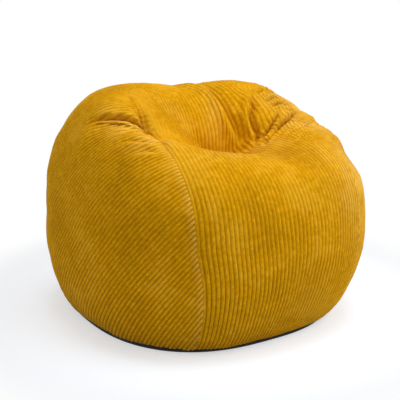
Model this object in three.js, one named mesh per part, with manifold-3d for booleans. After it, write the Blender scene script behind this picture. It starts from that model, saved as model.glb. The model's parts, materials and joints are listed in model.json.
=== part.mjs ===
// A corduroy bean bag chair with a seat hollow: a removable cover of a centre panel, two round
// side panels and a two-piece black base with a zip, a liner of the same cut inside it with a
// zip of its own, and the bead fill. Millimetres, +Z up, the chair's front towards -Y.

import * as THREE from 'three';
import * as BufferGeometryUtils from 'three/addons/utils/BufferGeometryUtils.js';
import Module from 'manifold-3d';

const wasm = await Module();
wasm.setup();

// Overall form of the filled chair. Angles are in degrees, and are taken about the X axis
// (turn: 0 front, 90 top, 180 back) and towards the sides (tilt: 0 middle, 90 side).
const halfWidth = 425;
const frontReach = 417;
const backReach = 398;
const girthHeight = 300;
const crownRise = 332;
const footDrop = 412;
const waistRoundness = 2.5;
const crownPlanRoundness = 2.32;
const middleCrownRoundness = 2.55;
const sideCrownRoundness = 2.37;
const footRoundness = 2.68;
const forwardLean = 0.08;
const rightShoulderDrop = 0.11;
const footShift = -19;

// The sat-in hollow, its crease and the swellings round it.
const seatDepth = 272;
const seatTurn = 65.3;
const seatFrontSpread = 29.4;
const seatBackSpread = 28.4;
const seatSideSpread = 35.4;
const seatFrontSharpness = 1.55;
const seatBackSharpness = 1.85;
const seatSideSharpness = 2.71;
const seatFloorDistance = 100;
const seatFloorLeastShare = 0.6;
const seatFloorBlend = 6;
const creaseDepth = 26.5;
const creaseTurn = 60.4;
const creaseSpread = 7.35;
const creaseSharpness = 1.3;
const creaseBend = 43;
const creaseSweep = 2.2;
const creaseReach = 56;
const creaseFade = 8;
const frontSwell = 30.4;
const frontSwellTurn = -16;
const frontSwellSpread = 25;
const frontSwellReach = 51.7;
const shoulderSwell = 36.6;
const shoulderTurn = 100;
const shoulderSpread = 35;
const shoulderTilt = 38;
const shoulderTiltSpread = 22;

// The two seams between the centre panel and the side panels.
const seamHalfWidth = 267.7;
const seamCrownInset = 39;
const seamFootInset = 91.6;

// Cloth layers and the clearance between neighbouring pieces.
const coverThickness = 4;
const baseClothThickness = 1.8;
const linerThickness = 1;
const layerGap = 0.3;
const seamGap = 0.3;

// Base of the cover: a flat black panel whose rim is turned up to meet the corduroy.
const rimHeight = 11.5;
const rimInset = 8;

// Zip of the cover and zip of the liner, each with its closed end to the right.
const coverZipLength = 480;
const linerZipLength = 400;
const zipFloorGap = 3.2;
const zipToZipGap = 0.9;
const toothPitch = 10;
const toothThickness = 3;
const toothReach = 1.9;
const toothHook = 0.25;
const railInner = 2.2;
const railOuter = 3.4;
const tapeThickness = 0.8;
const tapeWidth = 13;
const tapeEndLength = 18;
const zipClearance = 0.3;
const zipSlotHalf = 9;
const zipRamp = 30;
const sliderLength = 16;
const sliderPlate = 1.5;
const sliderFlange = 1.4;
const sliderFlare = 1.6;
const bridgeLength = 3;
const bridgeWidth = 2.4;
const stopLength = 3;
const zipEaseHalf = 18;
const zipEaseSpread = 45;

// How finely the cloth is faceted, in counts.
const centreColumns = 10;
const centreRows = 36;
const sideRings = 7;
const sideFootSteps = 10;
const baseRowShares = [0.15, 0.3, 0.45, 0.72];
const creaseRowShare = 2.2;
const creaseRowSpread = 16;
const rowSamples = 400;
const postSides = 12;

// How the seam and the rim are solved for, and how normals are taken.
const solverPasses = 40;
const solverStepShare = 0.6;
const seamWidestShare = 0.97;
const seamFirstTilt = 35;
const lowestFootTurn = 82;
const sideFirstTilt = 89;
const sideLastTilt = 10;
const normalStep = 0.004;
const mergeReach = 0.001;

const degrees = Math.PI / 180;
const square = (value) => value * value;
const hump = (distance, spread) => Math.exp(-square(distance / spread));

// Radius of the filled chair from its girth centre, along one direction.
function bodyRadius(turn, tilt) {
  const across = Math.abs(Math.sin(tilt));
  const forward = Math.cos(tilt) * Math.cos(turn);
  const rise = Math.cos(tilt) * Math.sin(turn);
  const reach = forward > 0 ? frontReach : backReach;
  const upper = rise > 0;
  const sideShare = square(across) / (square(across) + square(forward) + 1e-9);
  const planPower = upper
    ? waistRoundness + (crownPlanRoundness - waistRoundness) * square(rise)
    : waistRoundness;
  const profilePower = upper
    ? middleCrownRoundness + (sideCrownRoundness - middleCrownRoundness) * sideShare
    : footRoundness;
  const plan = Math.pow(
    Math.pow(across / halfWidth, planPower) + Math.pow(Math.abs(forward) / reach, planPower),
    1 / planPower,
  );
  const upright = Math.abs(rise) / (upper ? crownRise : footDrop);
  let radius = Math.pow(
    Math.pow(plan, profilePower) + Math.pow(upright, profilePower),
    -1 / profilePower,
  );

  const turnDegrees = turn / degrees;
  const tiltDegrees = Math.abs(tilt) / degrees;
  const fromSeat = turnDegrees - seatTurn;
  const seatSpread = fromSeat < 0 ? seatFrontSpread : seatBackSpread;
  const seatSharpness = fromSeat < 0 ? seatFrontSharpness : seatBackSharpness;
  radius -= seatDepth
    * Math.exp(-Math.pow(Math.abs(fromSeat) / seatSpread, seatSharpness))
    * Math.exp(-Math.pow(tiltDegrees / seatSideSpread, seatSideSharpness));

  const creaseLine = creaseTurn + creaseSweep * Math.max(0, tiltDegrees - creaseBend);
  const fromCrease = Math.abs(turnDegrees - creaseLine) * Math.cos(tilt);
  radius -= creaseDepth
    * Math.exp(-Math.pow(fromCrease / creaseSpread, creaseSharpness))
    * Math.exp(-Math.pow(tiltDegrees / creaseReach, creaseFade));

  // The hollow's floor is blended in as a flat place square to the seat's direction.
  const facingSeat = Math.cos(tilt) * Math.cos(turn - seatTurn * degrees);
  const seatFloor = seatFloorDistance / Math.max(facingSeat, seatFloorLeastShare);
  radius = Math.pow(
    Math.pow(radius, seatFloorBlend) + Math.pow(seatFloor, seatFloorBlend),
    1 / seatFloorBlend,
  );

  radius += frontSwell
    * hump(turnDegrees - frontSwellTurn, frontSwellSpread)
    * Math.exp(-Math.pow(tiltDegrees / frontSwellReach, seatSideSharpness));
  radius += shoulderSwell
    * hump(turnDegrees - shoulderTurn, shoulderSpread)
    * hump(tiltDegrees - shoulderTilt, shoulderTiltSpread);
  return radius;
}

// Point of the chair's outer surface along a unit direction from the girth centre.
function bodyPoint(direction) {
  let turn = Math.atan2(direction.z, -direction.y);
  if (turn < -Math.PI / 2) turn += 2 * Math.PI;
  const tilt = Math.asin(THREE.MathUtils.clamp(direction.x, -1, 1));
  const point = direction.clone().multiplyScalar(bodyRadius(turn, tilt));
  const above = Math.max(0, point.z);
  const below = Math.max(0, -point.z / girthHeight);
  point.y -= forwardLean * above;
  point.z += girthHeight - rightShoulderDrop * above * point.x / halfWidth;
  point.x += footShift * below;
  return point;
}

function directionAt(turn, tilt) {
  return new THREE.Vector3(
    Math.sin(tilt),
    -Math.cos(tilt) * Math.cos(turn),
    Math.cos(tilt) * Math.sin(turn),
  );
}

// Outward normal of the surface, from two short steps on it.
function bodyNormal(direction) {
  const helper = Math.abs(direction.z) < 0.8
    ? new THREE.Vector3(0, 0, 1)
    : new THREE.Vector3(0, 1, 0);
  const first = helper.cross(direction).normalize();
  const second = direction.clone().cross(first);
  const along = (axis, amount) => {
    return bodyPoint(direction.clone().addScaledVector(axis, amount).normalize());
  };
  const a = along(first, normalStep).sub(along(first, -normalStep));
  const b = along(second, normalStep).sub(along(second, -normalStep));
  return a.cross(b).normalize();
}

// Tilt of the seam at one turn: where the surface is as far out as the seam lies.
function seamTilt(turn) {
  const lift = Math.sin(turn);
  const halfSpan = seamHalfWidth
    - seamCrownInset * square(Math.max(0, lift))
    - seamFootInset * Math.max(0, -lift);
  let tilt = seamFirstTilt * degrees;
  for (let pass = 0; pass < solverPasses; pass += 1) {
    const wanted = Math.asin(Math.min(seamWidestShare, halfSpan / bodyRadius(turn, tilt)));
    tilt += solverStepShare * (wanted - tilt);
  }
  return tilt;
}

// Bisects for the place between two values where a function of it changes sign.
function solveBetween(low, high, test) {
  let from = low;
  let to = high;
  for (let pass = 0; pass < solverPasses; pass += 1) {
    const middle = (from + to) / 2;
    if (test(middle) > 0) from = middle;
    else to = middle;
  }
  return (from + to) / 2;
}

const aboveRim = (turn, tilt) => bodyPoint(directionAt(turn, tilt)).z - rimHeight;

// Turn at which a lengthwise line of the centre panel reaches the rim, at the front or back.
function footTurn(share, back) {
  const level = back ? 180 * degrees : 0;
  const down = (back ? 180 + lowestFootTurn : -lowestFootTurn) * degrees;
  return solveBetween(level, down, (turn) => aboveRim(turn, share * seamTilt(turn)));
}

// Lengthwise lines of the centre panel, from seam to seam.
const centreLines = Array.from({ length: centreColumns + 1 }, (_, column) => {
  const across = 2 * column / centreColumns - 1;
  return { across, from: footTurn(across, false), to: footTurn(across, true) };
});
const frontCorner = centreLines[0].from;
const backCorner = centreLines[0].to;

// Shares of the way from foot to foot at which facet rows lie, closer together at the crease.
function rowShares() {
  const sums = [0];
  for (let index = 1; index <= rowSamples; index += 1) {
    const turn = frontCorner + (backCorner - frontCorner) * (index - 0.5) / rowSamples;
    const extra = creaseRowShare * hump(turn / degrees - creaseTurn, creaseRowSpread);
    sums.push(sums[index - 1] + 1 + extra);
  }
  const shares = [];
  let sample = 1;
  for (let row = 0; row <= centreRows; row += 1) {
    const wanted = sums[rowSamples] * row / centreRows;
    while (sample < rowSamples && sums[sample] < wanted) sample += 1;
    const before = sums[sample - 1];
    shares.push((sample - 1 + (wanted - before) / (sums[sample] - before)) / rowSamples);
  }
  return shares;
}

const rows = rowShares();

// One surface point, set back by a depth of cloth. At the rim the set-back is level, so that
// the lower edges of all the layers lie in one plane.
function layerPoint(turn, tilt, depth, atRim) {
  const direction = directionAt(turn, tilt);
  const point = bodyPoint(direction);
  const normal = bodyNormal(direction);
  if (atRim) normal.setZ(0).normalize();
  point.addScaledVector(normal, -depth);
  if (atRim) point.z = rimHeight + seamGap / 2;
  return point;
}

// Grid of the centre panel: rows run from the front foot over the seat to the back foot.
function centreGrid(depth, edgeGap) {
  return rows.map((share, row) => centreLines.map(({ across, from, to }) => {
    const turn = from + (to - from) * share;
    const seam = seamTilt(turn);
    const tilt = across * (seam - edgeGap / bodyRadius(turn, seam));
    return layerPoint(turn, tilt, depth, row === 0 || row === centreRows);
  }));
}

// Spokes of a side panel: up along the seam's rows, then round the foot through straight down.
function sideSpokes(side, edgeGap) {
  const spokes = rows.map((share, row) => {
    const turn = frontCorner + (backCorner - frontCorner) * share;
    const seam = seamTilt(turn);
    const edge = seam + edgeGap / bodyRadius(turn, seam);
    return { turn, edge, foot: row === 0 || row === centreRows };
  });
  const down = 270 * degrees;
  const nextFront = frontCorner + 360 * degrees;
  for (let step = 1; step < sideFootSteps; step += 1) {
    const share = 2 * step / sideFootSteps;
    const turn = share < 1
      ? backCorner + (down - backCorner) * share
      : down + (nextFront - down) * (share - 1);
    const edge = solveBetween(
      sideFirstTilt * degrees,
      sideLastTilt * degrees,
      (tilt) => aboveRim(turn, side * tilt),
    );
    spokes.push({ turn, edge, foot: true });
  }
  return spokes;
}

// One ring of a side panel, from the pole of the side (share 0) to its outline (share 1).
function sideRing(spokes, side, depth, share) {
  return spokes.map(({ turn, edge, foot }) => {
    const tilt = 90 * degrees - (90 * degrees - edge) * share;
    return layerPoint(share > 0 ? turn : 0, side * tilt, depth, foot && share === 1);
  });
}

// Rings of a side panel, from the pole out.
function sideGrid(side, depth, edgeGap) {
  const spokes = sideSpokes(side, edgeGap);
  const shares = Array.from({ length: sideRings + 1 }, (_, ring) => ring / sideRings);
  return shares.map((share) => sideRing(spokes, side, depth, share));
}

// Collects triangles and gives back a closed geometry with merged corners.
class Facets {
  constructor() {
    this.positions = [];
  }

  triangle(a, b, c) {
    for (const point of [a, b, c]) this.positions.push(point.x, point.y, point.z);
  }

  grid(lines, closed, flip) {
    for (let i = 0; i + 1 < lines.length; i += 1) {
      const [here, next] = [lines[i], lines[i + 1]];
      const last = closed ? here.length : here.length - 1;
      for (let j = 0; j < last; j += 1) {
        const k = (j + 1) % here.length;
        const fan = flip
          ? [[here[j], next[k], here[k]], [here[j], next[j], next[k]]]
          : [[here[j], here[k], next[k]], [here[j], next[k], next[j]]];
        fan.forEach((corners) => this.triangle(...corners));
      }
    }
  }

  geometry() {
    const loose = new THREE.BufferGeometry();
    loose.setAttribute('position', new THREE.Float32BufferAttribute(this.positions, 3));
    const merged = BufferGeometryUtils.mergeVertices(loose, mergeReach);
    const index = merged.getIndex().array;
    const kept = [];
    for (let i = 0; i < index.length; i += 3) {
      const [a, b, c] = [index[i], index[i + 1], index[i + 2]];
      if (a !== b && b !== c && a !== c) kept.push(a, b, c);
    }
    merged.setIndex(kept);
    merged.computeVertexNormals();
    return merged;
  }
}

const column = (lines, index) => lines.map((line) => line[index]);

// Loop round a patch: along its first line, down its last column, back along its last line.
function patchLoop(lines) {
  const last = lines[0].length - 1;
  return [
    ...lines[0].slice(0, last),
    ...column(lines, last).slice(0, -1),
    ...lines[lines.length - 1].slice(1).reverse(),
    ...column(lines, 0).slice(1).reverse(),
  ];
}

function centrePanel(depth, thickness) {
  const outer = centreGrid(depth, seamGap / 2);
  const inner = centreGrid(depth + thickness, seamGap / 2);
  const facets = new Facets();
  facets.grid(outer, false, false);
  facets.grid(inner, false, true);
  facets.grid([patchLoop(outer), patchLoop(inner)], true, true);
  return facets.geometry();
}

function sidePanel(side, depth, thickness) {
  const outer = sideGrid(side, depth, seamGap / 2);
  const inner = sideGrid(side, depth + thickness, seamGap / 2);
  const flip = side < 0;
  const facets = new Facets();
  facets.grid(outer, true, flip);
  facets.grid(inner, true, !flip);
  facets.grid([outer[sideRings], inner[sideRings]], true, flip);
  return facets.geometry();
}

// Lower edge of the cloth at the rim: its front half and its back half, from left to right.
function footLoop(depth) {
  const edge = (side) => sideRing(sideSpokes(side, 0), side, depth, 1);
  const left = edge(-1);
  const right = edge(1);
  const centre = centreGrid(depth, 0);
  const lowest = centreRows + sideFootSteps / 2;
  const frontPart = (loop) => [...loop.slice(lowest), loop[0]];
  const backPart = (loop) => loop.slice(centreRows, lowest + 1).reverse();
  return {
    front: [...frontPart(left), ...centre[0].slice(1, -1), ...frontPart(right).reverse()],
    back: [...backPart(left), ...centre[centreRows].slice(1, -1), ...backPart(right).reverse()],
  };
}

// Where a zip's slot in the base ends, from the zip's middle.
const slotEnd = (zipLength) => zipLength / 2 + tapeEndLength;

// Places along the zip line where the columns of the base start, between its two ends.
function zipStations(count, leftEnd, rightEnd) {
  const fixed = [linerZipLength, coverZipLength].flatMap((length) => {
    return [slotEnd(length), slotEnd(length) + zipRamp];
  });
  const between = count - 2 * fixed.length - 2;
  const inner = Array.from({ length: between }, (_, order) => {
    return fixed[0] * (2 * (order + 1) / (between + 1) - 1);
  });
  const placed = [...fixed.map((reach) => -reach).reverse(), ...inner, ...fixed];
  const stations = placed.map((reach) => footShift + reach);
  const first = (leftEnd + stations[0]) / 2;
  const last = (rightEnd + stations[stations.length - 1]) / 2;
  return [first, ...stations, last];
}

// How far the base rises at one place to make room for the zips.
function zipEase(point, ease) {
  const reach = slotEnd(coverZipLength);
  const beside = THREE.MathUtils.smoothstep(Math.abs(point.y), zipEaseHalf, zipEaseSpread);
  const beyond = THREE.MathUtils.smoothstep(Math.abs(point.x - footShift), reach, reach + zipRamp);
  return ease * (1 - beside) * (1 - beyond);
}

// Edge of one half of the base along the zip line: open at the slot, closed beyond it.
function slotEdge(x, slotHalf, restHalf, zipLength) {
  const reach = slotEnd(zipLength);
  const beyond = THREE.MathUtils.smoothstep(Math.abs(x - footShift), reach, reach + zipRamp);
  return restHalf + (slotHalf - restHalf) * (1 - beyond);
}

// Columns of one half of the base, from the zip line out to the floor outline and up the rim.
function baseColumns(rim, toFront, floorZ, ease, slotHalf, restHalf, zipLength) {
  const sign = toFront ? -1 : 1;
  const last = rim.length - 1;
  const isEnd = (index) => index === 0 || index === last;
  const floors = rim.map((top, index) => {
    const outward = isEnd(index)
      ? new THREE.Vector3(index === 0 ? -1 : 1, 0, 0)
      : new THREE.Vector3(
        rim[index + 1].y - rim[index - 1].y,
        rim[index - 1].x - rim[index + 1].x,
        0,
      ).multiplyScalar(toFront ? 1 : -1).normalize();
    const floor = top.clone().addScaledVector(outward, -rimInset);
    floor.z = floorZ;
    if (isEnd(index)) floor.y = sign * restHalf;
    return floor;
  });
  const stations = zipStations(rim.length, floors[0].x, floors[last].x);
  const rowDistances = [zipEaseHalf, (zipEaseHalf + zipEaseSpread) / 2, zipEaseSpread];
  return rim.map((top, index) => {
    const floor = floors[index];
    const root = new THREE.Vector3(stations[index], isEnd(index) ? floor.y : 0, floorZ);
    const span = Math.abs(floor.y - root.y);
    const edge = slotEdge(root.x, slotHalf, restHalf, zipLength);
    const shares = baseRowShares.map((share, order) => {
      const distance = rowDistances[order];
      return distance < share * span ? distance / span : share;
    });
    const firstShare = isEnd(index) ? 0 : edge / span;
    const line = [firstShare, ...shares, 1].map((share) => {
      const point = root.clone().lerp(floor, share);
      point.z += share < 1 ? zipEase(point, ease) : 0;
      return point;
    });
    const upper = top.clone();
    if (restHalf > 0) {
      upper.z -= seamGap;
      if (isEnd(index)) upper.y = floor.y;
    }
    return [...line, upper];
  });
}

// Faces of one side of the base, with the facets' diagonals mirrored left and right.
function addBaseFace(facets, columns, flip) {
  const middle = Math.floor(columns.length / 2);
  facets.grid(columns.slice(0, middle + 1), false, flip);
  facets.grid(columns.slice(middle).reverse(), false, !flip);
}

function basePanel(toFront, rimDepth, floorZ, thickness, ease, zipLength) {
  const layer = (extra) => baseColumns(
    footLoop(rimDepth + extra)[toFront ? 'front' : 'back'],
    toFront,
    floorZ + extra,
    ease,
    zipSlotHalf,
    seamGap / 2,
    zipLength,
  );
  const outer = layer(0);
  const inner = layer(thickness);
  const facets = new Facets();
  addBaseFace(facets, outer, toFront);
  addBaseFace(facets, inner, !toFront);
  facets.grid([patchLoop(outer), patchLoop(inner)], true, !toFront);
  return facets.geometry();
}

// The bead fill: one body inside the liner, with the whole chair's shape.
function fillBody(depth, floorZ, ease) {
  const facets = new Facets();
  const left = sideGrid(-1, depth, 0);
  const right = sideGrid(1, depth, 0);
  const centre = centreGrid(depth, 0);
  centre.forEach((line, row) => {
    line[0] = left[sideRings][row];
    line[centreColumns] = right[sideRings][row];
  });
  facets.grid(centre, false, false);
  facets.grid(right, true, false);
  facets.grid(left, true, true);
  const loops = footLoop(depth);
  addBaseFace(facets, baseColumns(loops.front, true, floorZ, ease, 0, 0, coverZipLength), true);
  addBaseFace(facets, baseColumns(loops.back, false, floorZ, ease, 0, 0, coverZipLength), false);
  return facets.geometry();
}

// Zip pieces lie along X about the middle of the zip, with the closed end towards +X.
function extrudeFlat(points, bottom, thickness) {
  const shape = new THREE.Shape(points);
  const geometry = new THREE.ExtrudeGeometry(shape, { depth: thickness, bevelEnabled: false });
  geometry.translate(0, 0, bottom);
  return geometry;
}

function flip2d(points, sign) {
  const placed = points.map(([x, y]) => new THREE.Vector2(x, sign * y));
  return sign < 0 ? placed.reverse() : placed;
}

const toothCount = (length) => Math.floor(length / toothPitch);
const teethStart = (length) => -length / 2;
const teethEnd = (length) => teethStart(length) + (toothCount(length) + 0.5) * toothPitch;

function zipTape(length, height, sign) {
  const near = railOuter + zipClearance;
  const far = near + tapeWidth;
  const end = slotEnd(length);
  return extrudeFlat(
    flip2d([[-end, near], [end, near], [end, far], [-end, far]], sign),
    height - tapeThickness / 2,
    tapeThickness,
  );
}

// One row of teeth: a rail along the tape with dovetail teeth that reach across the middle.
function zipTeeth(length, height, sign) {
  const start = teethStart(length) + (sign > 0 ? 0 : toothPitch / 2);
  const meanHalf = toothPitch / 4 - zipClearance / 2;
  const rootHalf = meanHalf - toothHook;
  const tipHalf = meanHalf + toothHook;
  const outline = [[teethStart(length), railOuter], [teethStart(length), railInner]];
  for (let tooth = 0; tooth < toothCount(length); tooth += 1) {
    const middle = start + (tooth + 0.5) * toothPitch;
    outline.push([middle - rootHalf, railInner]);
    outline.push([middle - tipHalf, -toothReach]);
    outline.push([middle + tipHalf, -toothReach]);
    outline.push([middle + rootHalf, railInner]);
  }
  outline.push([teethEnd(length), railInner], [teethEnd(length), railOuter]);
  return extrudeFlat(flip2d(outline, sign), height - toothThickness / 2, toothThickness);
}

function toManifold(geometry) {
  const bare = geometry.clone();
  bare.deleteAttribute('normal');
  bare.deleteAttribute('uv');
  const merged = BufferGeometryUtils.mergeVertices(bare, mergeReach);
  const vertProperties = new Float32Array(merged.attributes.position.array);
  const triVerts = new Uint32Array(merged.index.array);
  return new wasm.Manifold(new wasm.Mesh({ numProp: 3, vertProperties, triVerts }));
}

function fromManifold(solid) {
  const { vertProperties, triVerts } = solid.getMesh();
  const geometry = new THREE.BufferGeometry();
  geometry.setAttribute('position', new THREE.Float32BufferAttribute(vertProperties, 3));
  geometry.setIndex(Array.from(triVerts));
  geometry.computeVertexNormals();
  return geometry;
}

const innerHalfHeight = toothThickness / 2 + zipClearance;
const sliderHalfHeight = innerHalfHeight + sliderPlate;
const sliderHalfInside = railOuter + zipClearance;
const sliderHalfWidth = sliderHalfInside + sliderFlange;

// Slider: two plates with flanges over the rows, joined by the post that parts the teeth.
function zipSlider(height) {
  const mouthHalf = sliderHalfWidth + sliderFlare;
  const plate = [
    [0, -sliderHalfWidth],
    [sliderLength / 2, -sliderHalfWidth],
    [sliderLength, -mouthHalf],
    [sliderLength + bridgeLength, -bridgeWidth],
    [sliderLength + bridgeLength, bridgeWidth],
    [sliderLength, mouthHalf],
    [sliderLength / 2, sliderHalfWidth],
    [0, sliderHalfWidth],
  ];
  const flange = [
    [0, sliderHalfInside],
    [sliderLength / 2, sliderHalfInside],
    [sliderLength, sliderHalfInside + sliderFlare],
    [sliderLength, mouthHalf],
    [sliderLength / 2, sliderHalfWidth],
    [0, sliderHalfWidth],
  ];
  const flangeStart = tapeThickness / 2 + zipClearance;
  const flangeHeight = innerHalfHeight + sliderPlate / 2 - flangeStart;
  const pieces = [];
  for (const level of [-1, 1]) {
    const plateStart = level > 0 ? innerHalfHeight : -sliderHalfHeight;
    pieces.push(extrudeFlat(flip2d(plate, 1), plateStart, sliderPlate));
    for (const wing of [-1, 1]) {
      const start = level > 0 ? flangeStart : -flangeStart - flangeHeight;
      pieces.push(extrudeFlat(flip2d(flange, wing), start, flangeHeight));
    }
  }
  const postHeight = 2 * innerHalfHeight + sliderPlate;
  const post = new THREE.CylinderGeometry(bridgeWidth / 2, bridgeWidth / 2, postHeight, postSides);
  post.rotateX(90 * degrees);
  post.translate(sliderLength - bridgeWidth / 2, 0, 0);
  pieces.push(post);
  const solid = pieces.map(toManifold).reduce((whole, piece) => whole.add(piece));
  const geometry = fromManifold(solid);
  geometry.translate(0, 0, height);
  return geometry;
}

// Bottom stop: a staple across both rails at the open end.
function zipBottomStop(length, height) {
  const end = teethStart(length) - zipClearance;
  const start = end - stopLength;
  const staple = [[start, -railOuter], [end, -railOuter], [end, railOuter], [start, railOuter]];
  return extrudeFlat(flip2d(staple, 1), height - toothThickness / 2, toothThickness);
}

// Top stop: a crimp beside one tape, beyond the slider at the closed end.
function zipTopStop(start, height, sign) {
  const near = railInner - zipClearance;
  const end = start + stopLength;
  const crimp = [[start, near], [end, near], [end, railOuter], [start, railOuter]];
  return extrudeFlat(flip2d(crimp, sign), height - toothThickness / 2, toothThickness);
}

function finish(color, roughness, metalness) {
  return new THREE.MeshStandardMaterial({ color, roughness, metalness });
}

const corduroy = () => finish(0xd29a14, 0.85, 0);
const blackCloth = () => finish(0x1c1c1e, 0.9, 0);
const linerCloth = () => finish(0xe9e7e0, 0.9, 0);
const blackTape = () => finish(0x232325, 0.85, 0);
const whiteTape = () => finish(0xd8d6ce, 0.85, 0);
const blackResin = () => finish(0x18181a, 0.45, 0);
const whiteResin = () => finish(0xf0efe9, 0.4, 0);
const zincFinish = () => finish(0x8d8f92, 0.35, 0.9);
const beadFoam = () => finish(0xfafaf7, 0.8, 0);

const chair = new THREE.Group();

function addPiece(parent, name, geometry, material) {
  const mesh = new THREE.Mesh(geometry, material);
  mesh.name = name;
  parent.add(mesh);
  return mesh;
}

function addPanels(prefix, depth, thickness, cloth) {
  addPiece(chair, `${prefix}_centre_panel`, centrePanel(depth, thickness), cloth());
  addPiece(chair, `${prefix}_left_panel`, sidePanel(-1, depth, thickness), cloth());
  addPiece(chair, `${prefix}_right_panel`, sidePanel(1, depth, thickness), cloth());
}

function addBase(prefix, rimDepth, floorZ, thickness, ease, zipLength, cloth) {
  const front = basePanel(true, rimDepth, floorZ, thickness, ease, zipLength);
  const back = basePanel(false, rimDepth, floorZ, thickness, ease, zipLength);
  addPiece(chair, `${prefix}_base_front`, front, cloth());
  addPiece(chair, `${prefix}_base_back`, back, cloth());
}

function addZip(prefix, length, height, tape, teeth) {
  const zip = new THREE.Group();
  zip.position.x = footShift;
  chair.add(zip);
  const sliderStart = teethEnd(length) + zipClearance - (sliderLength - bridgeWidth);
  const stopStart = sliderStart + sliderLength + bridgeLength + zipClearance;
  for (const [side, sign] of [['front', -1], ['back', 1]]) {
    addPiece(zip, `${prefix}_zip_tape_${side}`, zipTape(length, height, sign), tape());
    addPiece(zip, `${prefix}_zip_teeth_${side}`, zipTeeth(length, height, sign), teeth());
    const stop = zipTopStop(stopStart, height, sign);
    addPiece(zip, `${prefix}_zip_top_stop_${side}`, stop, zincFinish());
  }
  addPiece(zip, `${prefix}_zip_bottom_stop`, zipBottomStop(length, height), zincFinish());
  const slider = addPiece(zip, `${prefix}_zip_slider`, zipSlider(height), zincFinish());
  slider.position.x = sliderStart;
}

const linerDepth = coverThickness + layerGap;
const linerFloor = baseClothThickness + layerGap;
const fillDepth = linerDepth + linerThickness + layerGap;
const fillFloor = linerFloor + linerThickness + layerGap;
const coverZipHeight = zipFloorGap + sliderHalfHeight;
const linerZipHeight = coverZipHeight + 2 * sliderHalfHeight + zipToZipGap;
const tapeSeat = tapeThickness / 2 + layerGap;
const coverEase = coverZipHeight - tapeSeat - baseClothThickness;
const linerEase = linerZipHeight - tapeSeat - linerThickness - linerFloor;
const fillEase = linerZipHeight + sliderHalfHeight + layerGap - fillFloor;

addPanels('cover', 0, coverThickness, corduroy);
addBase('cover', 0, 0, baseClothThickness, coverEase, coverZipLength, blackCloth);
addZip('cover', coverZipLength, coverZipHeight, blackTape, blackResin);
addPanels('liner', linerDepth, linerThickness, linerCloth);
addBase('liner', linerDepth, linerFloor, linerThickness, linerEase, linerZipLength, linerCloth);
addZip('liner', linerZipLength, linerZipHeight, whiteTape, whiteResin);
addPiece(chair, 'bead_fill', fillBody(fillDepth, fillFloor, fillEase), beadFoam());

// The origin lies on the floor under the middle of the whole chair.
const middle = new THREE.Box3().setFromObject(chair).getCenter(new THREE.Vector3());
chair.position.set(-middle.x, -middle.y, 0);

export default chair;
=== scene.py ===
"""A round bean bag chair in mustard wide-wale corduroy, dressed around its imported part.

The filled form is one formula of two angles, the same as the part's. The cover's panels, the
black base, the liner and the beads are grids of that formula, with the wales, folds, puckers and
seams added as real relief.
"""

import json
import math

import bpy
import numpy as np
from bpy.props import FloatProperty, FloatVectorProperty, IntProperty, PointerProperty
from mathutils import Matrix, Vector

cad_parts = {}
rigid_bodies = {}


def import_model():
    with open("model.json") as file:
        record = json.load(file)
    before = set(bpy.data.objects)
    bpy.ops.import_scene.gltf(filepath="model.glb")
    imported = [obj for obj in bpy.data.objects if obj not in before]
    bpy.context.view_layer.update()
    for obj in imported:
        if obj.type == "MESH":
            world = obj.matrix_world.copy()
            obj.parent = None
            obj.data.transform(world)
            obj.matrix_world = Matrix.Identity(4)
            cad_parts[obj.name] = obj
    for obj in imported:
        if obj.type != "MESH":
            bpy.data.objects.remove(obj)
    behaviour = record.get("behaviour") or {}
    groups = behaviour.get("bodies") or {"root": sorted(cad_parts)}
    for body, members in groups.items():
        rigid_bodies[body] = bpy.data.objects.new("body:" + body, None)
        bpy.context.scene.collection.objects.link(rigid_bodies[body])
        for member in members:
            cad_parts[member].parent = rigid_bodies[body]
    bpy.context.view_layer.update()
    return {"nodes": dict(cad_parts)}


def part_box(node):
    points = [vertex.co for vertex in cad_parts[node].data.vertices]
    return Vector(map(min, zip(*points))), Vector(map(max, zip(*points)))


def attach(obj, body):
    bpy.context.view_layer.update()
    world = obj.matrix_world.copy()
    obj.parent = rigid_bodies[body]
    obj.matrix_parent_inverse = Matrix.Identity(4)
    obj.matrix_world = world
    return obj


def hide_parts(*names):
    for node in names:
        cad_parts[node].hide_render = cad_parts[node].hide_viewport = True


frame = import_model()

bl_info = {
    "name": "Corduroy bean bag chair",
    "version": (1, 0, 0),
    "blender": (4, 5, 0),
    "location": "View3D > Sidebar > Bean bag",
    "description": "Panels, base, liner, beads and zips of a corduroy bean bag chair",
    "category": "Object",
}

MILLIMETRE = 0.001

# Form of the filled chair, in millimetres and degrees. Turn goes round the X axis (0 front,
# 90 top, 180 back) and tilt towards the sides (0 middle, 90 side).
HALF_WIDTH = 425.0
FRONT_REACH = 417.0
BACK_REACH = 398.0
GIRTH_HEIGHT = 300.0
CROWN_RISE = 332.0
FOOT_DROP = 412.0
WAIST_ROUNDNESS = 2.5
CROWN_PLAN_ROUNDNESS = 2.32
MIDDLE_CROWN_ROUNDNESS = 2.55
SIDE_CROWN_ROUNDNESS = 2.37
FOOT_ROUNDNESS = 2.68
FORWARD_LEAN = 0.08
RIGHT_SHOULDER_DROP = 0.11
FOOT_SHIFT = -19.0
SEAT_DEPTH = 272.0
SEAT_TURN = 65.3
SEAT_FRONT_SPREAD = 29.4
SEAT_BACK_SPREAD = 28.4
SEAT_SIDE_SPREAD = 35.4
SEAT_FRONT_SHARPNESS = 1.55
SEAT_BACK_SHARPNESS = 1.85
SEAT_SIDE_SHARPNESS = 2.71
SEAT_FLOOR_DISTANCE = 100.0
SEAT_FLOOR_LEAST_SHARE = 0.6
SEAT_FLOOR_BLEND = 6
CREASE_DEPTH = 26.5
CREASE_TURN = 60.4
CREASE_SPREAD = 7.35
CREASE_SHARPNESS = 1.3
CREASE_BEND = 43.0
CREASE_SWEEP = 2.2
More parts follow.
